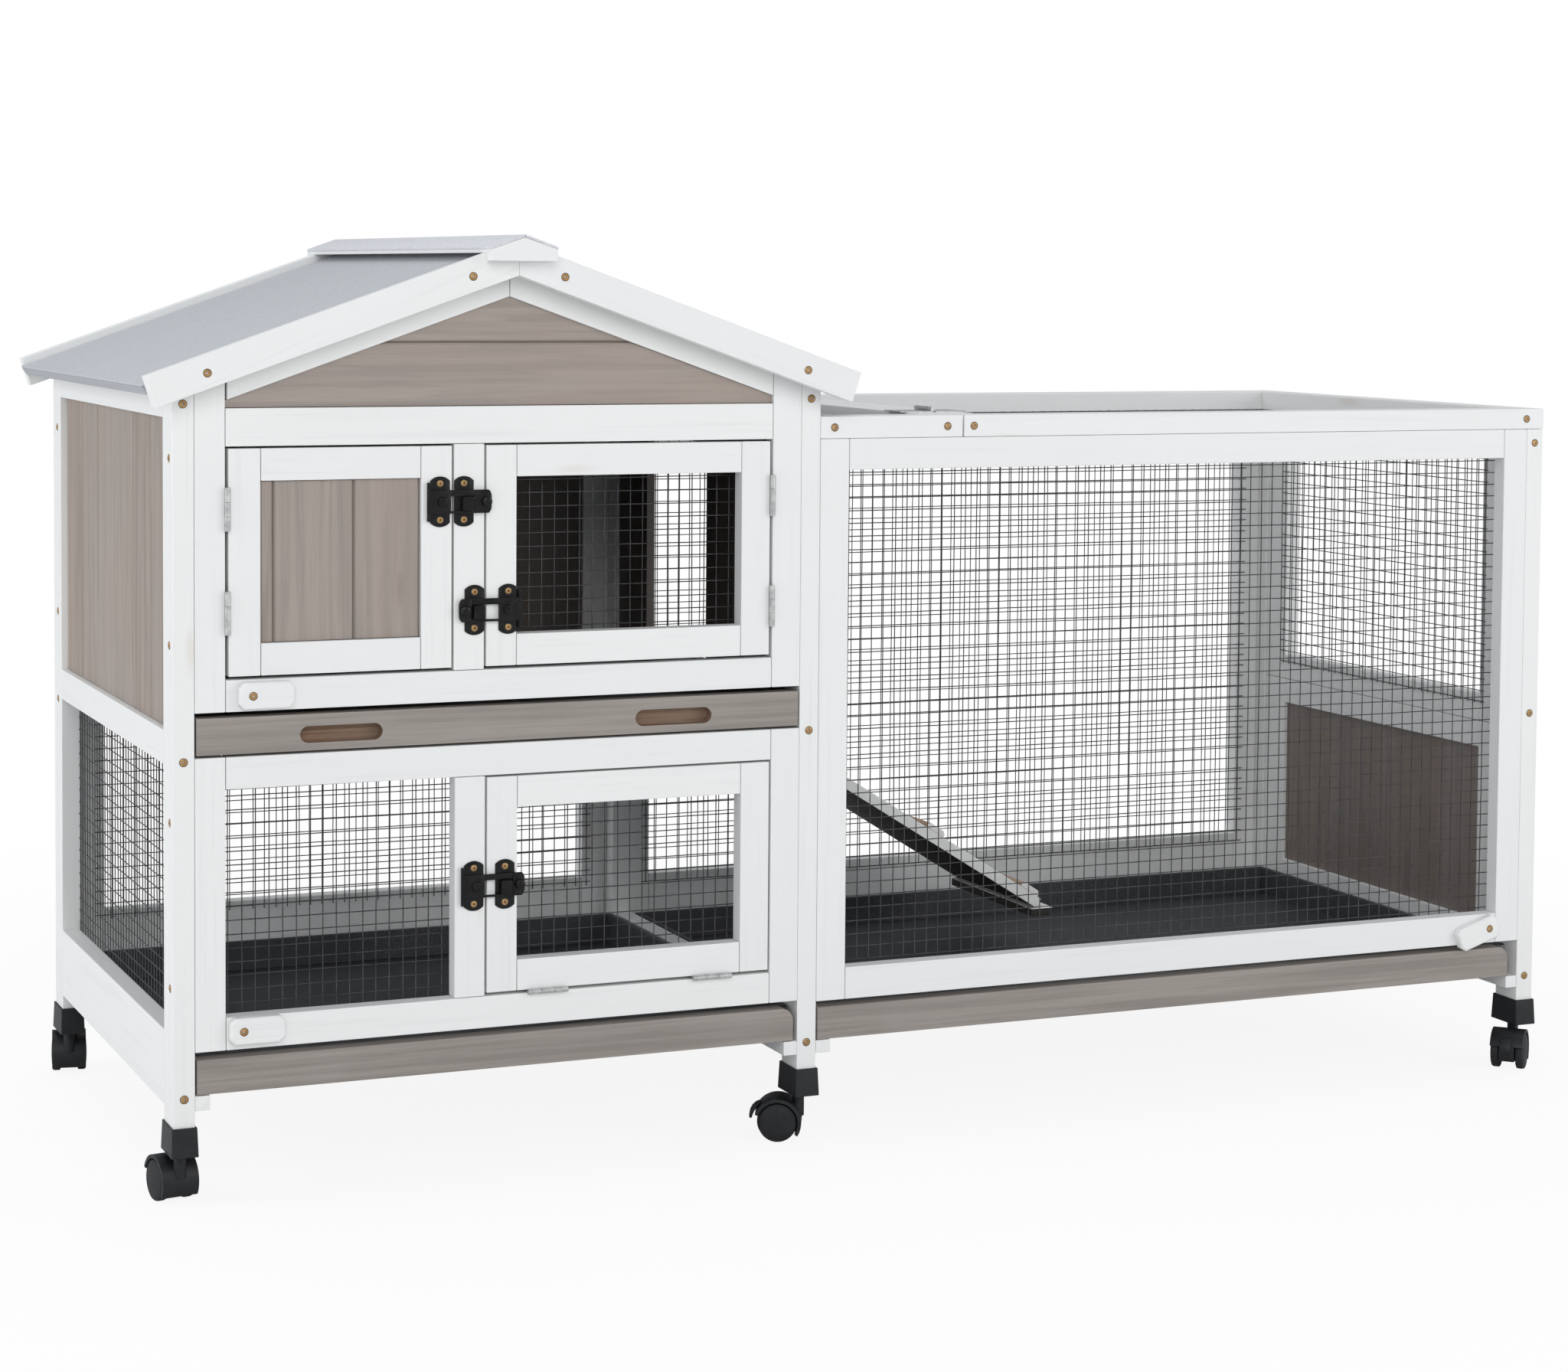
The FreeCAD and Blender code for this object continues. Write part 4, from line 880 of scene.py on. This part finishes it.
cabinet_screws = []
posts = [span(c) for c, _ in solids("corner_posts")]
front_edge = min(low.y for low, _ in posts)
left_edge = min(low.x for low, _ in posts)
tall = max(high.z for _, high in posts)
for low, high in posts:
    middle = (low + high) / 2
    at_front = low.y < front_edge + CLOSE
    heights = TALL_POST_SCREWS if high.z > tall - TALL_POSTS_DIFFER else SHORT_POST_SCREWS
    if at_front:
        cabinet_screws += [((middle.x, low.y, z), FRONT) for z in heights]
    else:
        cabinet_screws += [((middle.x, high.y, z), BACK) for z in heights]
    if low.x < left_edge + CLOSE:
        side_heights = FRONT_POST_SIDE_SCREWS if at_front else BACK_POST_SIDE_SCREWS
        y = low.y + FRONT_POST_SIDE_INSET if at_front else high.y - BACK_POST_SIDE_INSET
        cabinet_screws += [((low.x, y, z), LEFT) for z in side_heights]
for corners, _ in solids("barge_boards"):
    low, high = span(corners)
    out = FRONT if low.y < 0 else BACK
    face = low.y if low.y < 0 else high.y
    row = sorted([c for c in corners if abs(c.y - face) < 1e-5], key=lambda c: c.x)
    start, stop = (row[0] + row[1]) / 2, (row[-1] + row[-2]) / 2
    if start.z > stop.z:
        start, stop = stop, start
    cabinet_screws += [(start.lerp(stop, share), out) for share in BARGE_SCREW_SHARES]


def rail_screws(low, high, insets):
    """A screw near each end of a rail's front."""
    z = (low.z + high.z) / 2
    return [((low.x + insets[0], low.y, z), FRONT), ((high.x - insets[1], low.y, z), FRONT)]


TOP_RAIL_INSETS = (15 * MM, 17 * MM)
LID_RAIL_INSETS = (11 * MM, 22 * MM)
top_face = max(span(c)[1].z for c, _ in solids("run_frames"))
for low, high in front_face("run_frames"):
    if high.z > top_face - CLOSE:
        cabinet_screws += rail_screws(low, high, TOP_RAIL_INSETS)
screws("screws_cabinet", "cabinet", cabinet_screws)
lid_front = min(front_face("lid_frame"), key=lambda box: box[0].y)
screws("screws_lid", "lid", rail_screws(*lid_front, LID_RAIL_INSETS))

for name in ("upper", "low", "run"):
    pivot = Vector(JOINTS[name + "_button_screw"]["pos_m"])
    low, high = span([v.co for v in frame["nodes"][name + "_button"].data.vertices])
    place = ((pivot.x, low.y, pivot.z), FRONT)
    screws("screw_" + name + "_button", name + "_turn", [place])


# Latches and hinges

PLATE_HEIGHT = 47 * MM
PLATE_SCREW_SHARE = 0.36
PLATE_SCREW_RADIUS = 2.9 * MM
HINGE_LEAST_LENGTH = 38 * MM
TONGUE_LEAST_DEPTH = 6 * MM


def is_plate(low, high):
    """A hasp plate, by its height."""
    return abs(high.z - low.z - PLATE_HEIGHT) < 1 * MM


def is_hinge(low, high):
    """A hinge's leaf or knuckle, by its length."""
    return max(high - low) > HINGE_LEAST_LENGTH and not is_plate(low, high)


def is_tongue(low, high):
    """A keeper's tongue, by how far it stands out."""
    return high.y - low.y > TONGUE_LEAST_DEPTH and not is_hinge(low, high)


def is_hasp_part(low, high):
    """What is left: the plates and the lugs on them."""
    return not is_hinge(low, high) and not is_tongue(low, high)


TONGUE_BELOW = 0.8 * MM
TONGUE_SINK = 2.9 * MM
TONGUE_THICKNESS = 1.8 * MM
TONGUE_CORNER = 2.0 * MM
TONGUE_FOOT_SHARE = 0.45
TONGUE_FOOT_INSET = 0.4 * MM
TONGUE_FOOT_BACK = 0.6 * MM


def tongue(bm, low, high):
    """A bent strap: a foot on the plate and a round-topped face before the bar."""
    low = low - Vector((0, 0, TONGUE_BELOW))
    high = high - Vector((0, 0, TONGUE_SINK))
    face = low.y + TONGUE_THICKNESS
    rise = high.z - TONGUE_CORNER
    outline = [(low.x, low.z), (high.x, low.z)]
    for way, centre in ((1, high.x - TONGUE_CORNER), (-1, low.x + TONGUE_CORNER)):
        for step in range(5):
            a = math.pi / 8 * (step if way > 0 else 4 - step)
            x = centre + way * TONGUE_CORNER * math.cos(a)
            outline.append((x, rise + TONGUE_CORNER * math.sin(a)))
    front = [Vector((x, y, z)) for x, z in outline for y in (low.y, face)]
    add_board(bm, front, TONGUE_EDGE, 3)
    foot_top = low.z + (high.z - low.z) * TONGUE_FOOT_SHARE
    foot = [
        Vector((x, y, z)) for x in (low.x + TONGUE_FOOT_INSET, high.x - TONGUE_FOOT_INSET)
        for y in (low.y + TONGUE_FOOT_BACK, high.y) for z in (low.z, foot_top)
    ]
    add_board(bm, foot, TONGUE_FOOT_EDGE, 3)


for node in (
    "fixed_latch_plates", "solid_door_fittings", "mesh_door_fittings", "drop_door_fittings",
):
    carved(node, "hasp", PLATE_EDGE, is_hasp_part, "hasp_" + node)
    places = []
    for corners, _ in solids(node):
        low, high = span(corners)
        if is_plate(low, high):
            middle = (low + high) / 2
            shift = (high.z - low.z) * PLATE_SCREW_SHARE
            places += [((middle.x, low.y, middle.z + d), FRONT) for d in (-shift, shift)]
    screws("screws_" + node, BODY_OF[node], places, PLATE_SCREW_RADIUS)
    if node != "fixed_latch_plates":
        carved(node, "zinc", 0, is_hinge, "hinges_" + node)
carved("fixed_hinge_leaves", "zinc", 0)
carved("lid_hinge_leaves", "zinc", 0)

TONGUES = []
for node in ("fixed_latch_plates", "drop_door_fittings"):
    tongues = bmesh.new()
    for corners, _ in solids(node):
        if is_tongue(*span(corners)):
            TONGUES.append(span(corners))
            tongue(tongues, *span(corners))
    smooth_by_angle(stand_in("tongue_" + node, node, tongues, ["hasp"]))

STRIP_WIDTH = 5.8 * MM
TONGUE_GAP = 1.3 * MM
TIP_CORNER = 3.0 * MM
TIP_STEPS = 6
KNOB_SIDES = 32

# How far out from the strip, and how wide from the middle, in mm
KNOB_PROFILE = ((0, 4.3), (0.5, 4.7), (4.2, 4.7), (5.2, 4.4), (5.7, 3.6), (5.9, 1.5))
RIVET_PROFILE = ((0, 4.6), (1.0, 4.6), (1.6, 4.2), (1.8, 3.4), (1.9, 1.2))
KNOB_INSET = 5.6 * MM
RIVET_REACH = 12.4 * MM


def latch_bar(name):
    """The CAD's barrel and strips, the upper strip broader, with a blunt tip, rivet and knob."""
    node = name + "_latch_bar"
    pin = Vector(JOINTS[name + "_latch_pin"]["pos_m"])
    parts = sorted(solids(node), key=lambda p: abs(sum(span(p[0]), Vector()).x / 2 - pin.x))
    low, high = span(parts[-1][0])
    strip = span(parts[1][0])
    middle, half = (low.z + high.z) / 2, (high.z - low.z) / 2
    way = 1 if low.x > pin.x else -1
    far = high.x if way > 0 else low.x
    edges = [edge.x for box in TONGUES if box[0].z < middle < box[1].z for edge in box]
    reach = max(way * (x - pin.x) for x in edges) + TONGUE_GAP
    near = pin.x + way * reach
    bm = bmesh.new()
    for corners, faces in parts[:-1]:
        upper = min(c.z for c in corners) > middle
        shaped = []
        for c in corners:
            x = pin.x + way * min(reach, way * (c.x - pin.x))
            lowered = upper and c.z < high.z - 1 * MM
            shaped.append(Vector((x, c.y, high.z - STRIP_WIDTH if lowered else c.z)))
        add_board(bm, shaped, STRAP_EDGE, faces=faces)
    outline = [(near, middle - half), (near, middle + half)]
    for step in range(-TIP_STEPS, TIP_STEPS + 1):
        share = math.sin(math.pi / 2 * step / TIP_STEPS)
        outline.append((far - way * TIP_CORNER * abs(share) ** 5, middle + half * share))
    tip = [Vector((x, y, z)) for x, z in outline for y in (strip[0].y, strip[1].y)]
    add_board(bm, tip, STRAP_EDGE)
    for seat, profile in (
        (far - way * KNOB_INSET, KNOB_PROFILE),
        (pin.x + way * RIVET_REACH, RIVET_PROFILE),
    ):
        centre = Vector((seat, strip[0].y, middle))
        lathe(bm, centre, FRONT, [(a * MM, r * MM) for a, r in profile], KNOB_SIDES)
    bmesh.ops.recalc_face_normals(bm, faces=bm.faces)
    smooth_by_angle(stand_in("form_" + node, node, bm, ["hasp"]))


for name in ("left", "right", "low"):
    latch_bar(name)


# Castors

WHEEL_SIDES = 72
AXLE_SIDES = 24
AXLE_RADIUS = 3.0 * MM
WHEEL_BORE = 3.2 * MM
WHEEL_INNER_FACE = 8.9 * MM
PEDAL_HALF_WIDTH = 6 * MM

# Each wheel from its inner face out: mm from that face, and share of the radius
TREAD_PROFILE = ((0.0, 0.93), (0.5, 0.985), (1.4, 1.0))

# Then to its hub: mm in from the outer face, and share of the radius
DISC_PROFILE = (
    (3.4, 1.0), (2.1, 0.985), (1.2, 0.945), (0.9, 0.90), (1.2, 0.875), (1.0, 0.85),
    (0.4, 0.55), (0.1, 0.25), (0.0, 0.05),
)

# Degrees round the hub from level, and mm from it to the pedal's inner and outer side
PEDAL_PROFILE = (
    (46, 23.9, 25.0), (38, 24.0, 27.0), (28, 24.3, 28.3), (18, 24.8, 28.8),
    (10, 25.2, 28.6), (4, 25.7, 27.8),
)


def hub_and_axis(corner):
    """The middle of a castor's wheels, and the way that their axle points."""
    joint = JOINTS["spin_" + corner]
    return Vector(joint["pos_m"]), Vector(joint["axis"]).normalized()


def pedal(corner):
    """A curved pedal that follows the back of the hood."""
    node = "brake_lever_" + corner
    hub, axis = hub_and_axis(corner)
    low, high = span([v.co for v in frame["nodes"][node].data.vertices])
    away = (low + high) / 2 - hub
    away -= axis * away.dot(axis)
    away.z = 0
    away.normalize()
    bm = bmesh.new()
    rings = []
    for degrees, inner, outer in PEDAL_PROFILE:
        a = math.radians(degrees)
        ray = away * math.cos(a) + Vector((0, 0, math.sin(a)))
        rings.append([
            bm.verts.new(hub + ray * r * MM + axis * side * PEDAL_HALF_WIDTH)
            for r, side in ((inner, -1), (outer, -1), (outer, 1), (inner, 1))
        ])
    join_rings(bm, rings)
    bmesh.ops.recalc_face_normals(bm, faces=bm.faces)
    sharp = [e for e in bm.edges if e.calc_face_angle(0) > 1.0]
    bmesh.ops.bevel(bm, geom=sharp, offset=PEDAL_EDGE, segments=3, profile=0.5, affect="EDGES")
    smooth_by_angle(stand_in("form_" + node, node, bm, ["black"]), 50)


def wheels(corner):
    """Two discs with rounded rims and a shallow dish, on one axle."""
    node = "castor_wheels_" + corner
    hub, axis = hub_and_axis(corner)
    radius = hub.z
    inner = WHEEL_INNER_FACE
    outer = max(abs((v.co - hub).dot(axis)) for v in frame["nodes"][node].data.vertices)
    profile = [(inner, WHEEL_BORE)]
    profile += [(inner + out * MM, radius * share) for out, share in TREAD_PROFILE]
    profile += [(outer - back * MM, radius * share) for back, share in DISC_PROFILE]
    bm = bmesh.new()
    for way in (1, -1):
        lathe(bm, hub, axis * way, profile, WHEEL_SIDES)
    lathe(bm, hub, axis, [(-inner, AXLE_RADIUS), (inner, AXLE_RADIUS)], AXLE_SIDES)
    bmesh.ops.recalc_face_normals(bm, faces=bm.faces)
    smooth_by_angle(stand_in("form_" + node, node, bm, ["tyre"]), 35)


WHEELS = "castor_wheels_"
for corner in [n[len(WHEELS):] for n in frame["nodes"] if n.startswith(WHEELS)]:
    carved("castor_hood_" + corner, "black", HOOD_EDGE)
    wheels(corner)
    if "brake_lever_" + corner in frame["nodes"]:
        pedal(corner)
carved("leg_sockets", "black", SOCKET_EDGE, segments=4)


# Trays, felt and the upper tray board

SHEET_LEAST_WIDTH = 50 * MM
SLOT_MARGIN = 1.5 * MM

for node in ("upper_tray_pan", "low_tray_pan", "run_tray_pan"):
    carved(node, "tray", PAN_EDGE)
felt = bmesh.new()
caps = bmesh.new()
barge_inside = min(abs(corner.y) for c, _ in solids("barge_boards") for corner in span(c))
cap_end = max(span(c)[1].y for c, _ in solids("roof_felt"))
for corners, faces in solids("roof_felt"):
    low, high = span(corners)
    if high.y > cap_end - CLOSE:
        add_board(caps, corners, CAP_EDGE, faces=faces)
    elif high.x - low.x > SHEET_LEAST_WIDTH:
        lowered = []
        for c in corners:
            y = min(max(c.y, -barge_inside), barge_inside)
            lowered.append(Vector((c.x, y, c.z - FELT_DROP)))
        add_board(felt, lowered, FELT_EDGE, faces=faces)
    else:
        middle = (low.z + high.z) / 2
        folded = [c - Vector((0, 0, FELT_DROP if c.z > middle else 0)) for c in corners]
        add_board(felt, folded, FOLD_EDGE, 4, mat=1, faces=faces)
smooth_by_angle(stand_in("form_roof_felt", "roof_felt", felt, ["felt", "fold_felt"]))
smooth_by_angle(stand_in("form_cap_felt", "roof_felt", caps, ["cap_felt"]))
board = boards("upper_tray_board", "tray_board", keep_faces=True)
low, high = span([v.co for v in board.data.vertices])


def in_pull_slot(face):
    """Whether a face is behind the board's front and away from its sides and back."""
    c = face.center
    from_side = min(c.x - low.x, high.x - c.x, c.z - low.z, high.z - c.z, high.y - c.y)
    return from_side > SLOT_MARGIN and c.y > low.y + SLOT_MARGIN


paint_faces(board, "raw", in_pull_slot)
for obj in frame["nodes"].values():
    obj.data.materials.clear()
    obj.data.materials.append(MATERIALS["white"])


# Stage, light and camera

SKY_LIGHT = 0.38
FLOOR_SIZE = 30.0
FLOOR_GLOW = 0.90
FLOOR_FADE = (0.7, 2.0)
CAMERA_PLACE = Vector((-1.37676, -3.1805, 0.849))
CAMERA_LENS = 75.157
CAMERA_SHIFT = -0.1494
YAW, PITCH, ROLL = 0.40509, 0.05384, 0.00766


def soft_light(name, place, target, size, power, colour=(1, 1, 1)):
    """An area light that looks at a target."""
    data = bpy.data.lights.new(name, "AREA")
    data.shape = "RECTANGLE"
    data.size, data.size_y = size
    data.energy = power
    data.color = colour
    obj = bpy.data.objects.new(name, data)
    bpy.context.scene.collection.objects.link(obj)
    obj.location = place
    obj.rotation_euler = (Vector(target) - Vector(place)).to_track_quat("-Z", "Y").to_euler()


def pale_floor(tree, sh):
    """Nearly all glow to the camera, so that only a faint shadow shows by the hutch."""
    out = tree.nodes["Material Output"]
    set_in(sh, Base_Color=(0.86, 0.86, 0.86, 1.0), Roughness=0.9)
    glow = tree.nodes.new("ShaderNodeEmission")
    glow.inputs["Color"].default_value = (1, 1, 1, 1)
    seen = node_of(tree, "ShaderNodeLightPath", out="Is Camera Ray")
    away = node_of(
        tree, "ShaderNodeVectorMath", {0: object_place(tree)}, "Value", operation="LENGTH",
    )
    mixed = tree.nodes.new("ShaderNodeMixShader")
    put(tree, mixed.inputs[0], seen * (FLOOR_GLOW + away.step(*FLOOR_FADE) * (1 - FLOOR_GLOW)))
    tree.links.new(sh.outputs[0], mixed.inputs[1])
    tree.links.new(glow.outputs[0], mixed.inputs[2])
    tree.links.new(mixed.outputs[0], out.inputs["Surface"])


world = bpy.data.worlds.new("studio")
bpy.context.scene.world = world
world.use_nodes = True
backdrop = world.node_tree.nodes["Background"]
seen = node_of(world.node_tree, "ShaderNodeLightPath", out="Is Camera Ray")
sky = mix_colour(world.node_tree, seen, (0.86, 0.90, 0.95), (1.0, 1.0, 1.0))
put(world.node_tree, backdrop.inputs["Color"], sky)
put(world.node_tree, backdrop.inputs["Strength"], seen * (1 - SKY_LIGHT) + SKY_LIGHT)

floor_mesh = bmesh.new()
bmesh.ops.create_grid(floor_mesh, x_segments=1, y_segments=1, size=FLOOR_SIZE)
floor = new_object("floor", floor_mesh, [])
floor.data.materials.append(material(pale_floor))

soft_light("key", place=(-1.6, -4.4, 2.6), target=(0, 0, 0.45), size=(3.4, 3.0), power=90)
soft_light("fill", place=(3.2, -3.6, 1.6), target=(0, 0, 0.4), size=(3.0, 2.6), power=62)
soft_light(
    "side", place=(-4.2, 0.2, 1.6), target=(0, 0, 0.5), size=(2.5, 2.5), power=75,
    colour=(0.97, 0.985, 1.0),
)
soft_light("top", place=(0.2, 0.8, 4.2), target=(0, 0, 0), size=(4.0, 3.0), power=56)

camera = bpy.data.cameras.new("camera")
camera.sensor_width = 36.0
camera.lens = CAMERA_LENS
camera.shift_y = CAMERA_SHIFT
camera.clip_end = 100.0
eye = bpy.data.objects.new("camera", camera)
bpy.context.scene.collection.objects.link(eye)
forward = Vector((
    math.cos(PITCH) * math.sin(YAW), math.cos(PITCH) * math.cos(YAW), -math.sin(PITCH),
))
right = Vector((math.cos(YAW), -math.sin(YAW), 0.0))
up = right.cross(forward)
rolled_right = right * math.cos(ROLL) + up * math.sin(ROLL)
rolled_up = up * math.cos(ROLL) - right * math.sin(ROLL)
turn = Matrix((rolled_right, rolled_up, -forward)).transposed().to_4x4()
eye.matrix_world = Matrix.Translation(CAMERA_PLACE) @ turn
bpy.context.scene.camera = eye
bpy.context.scene.view_settings.view_transform = "Standard"
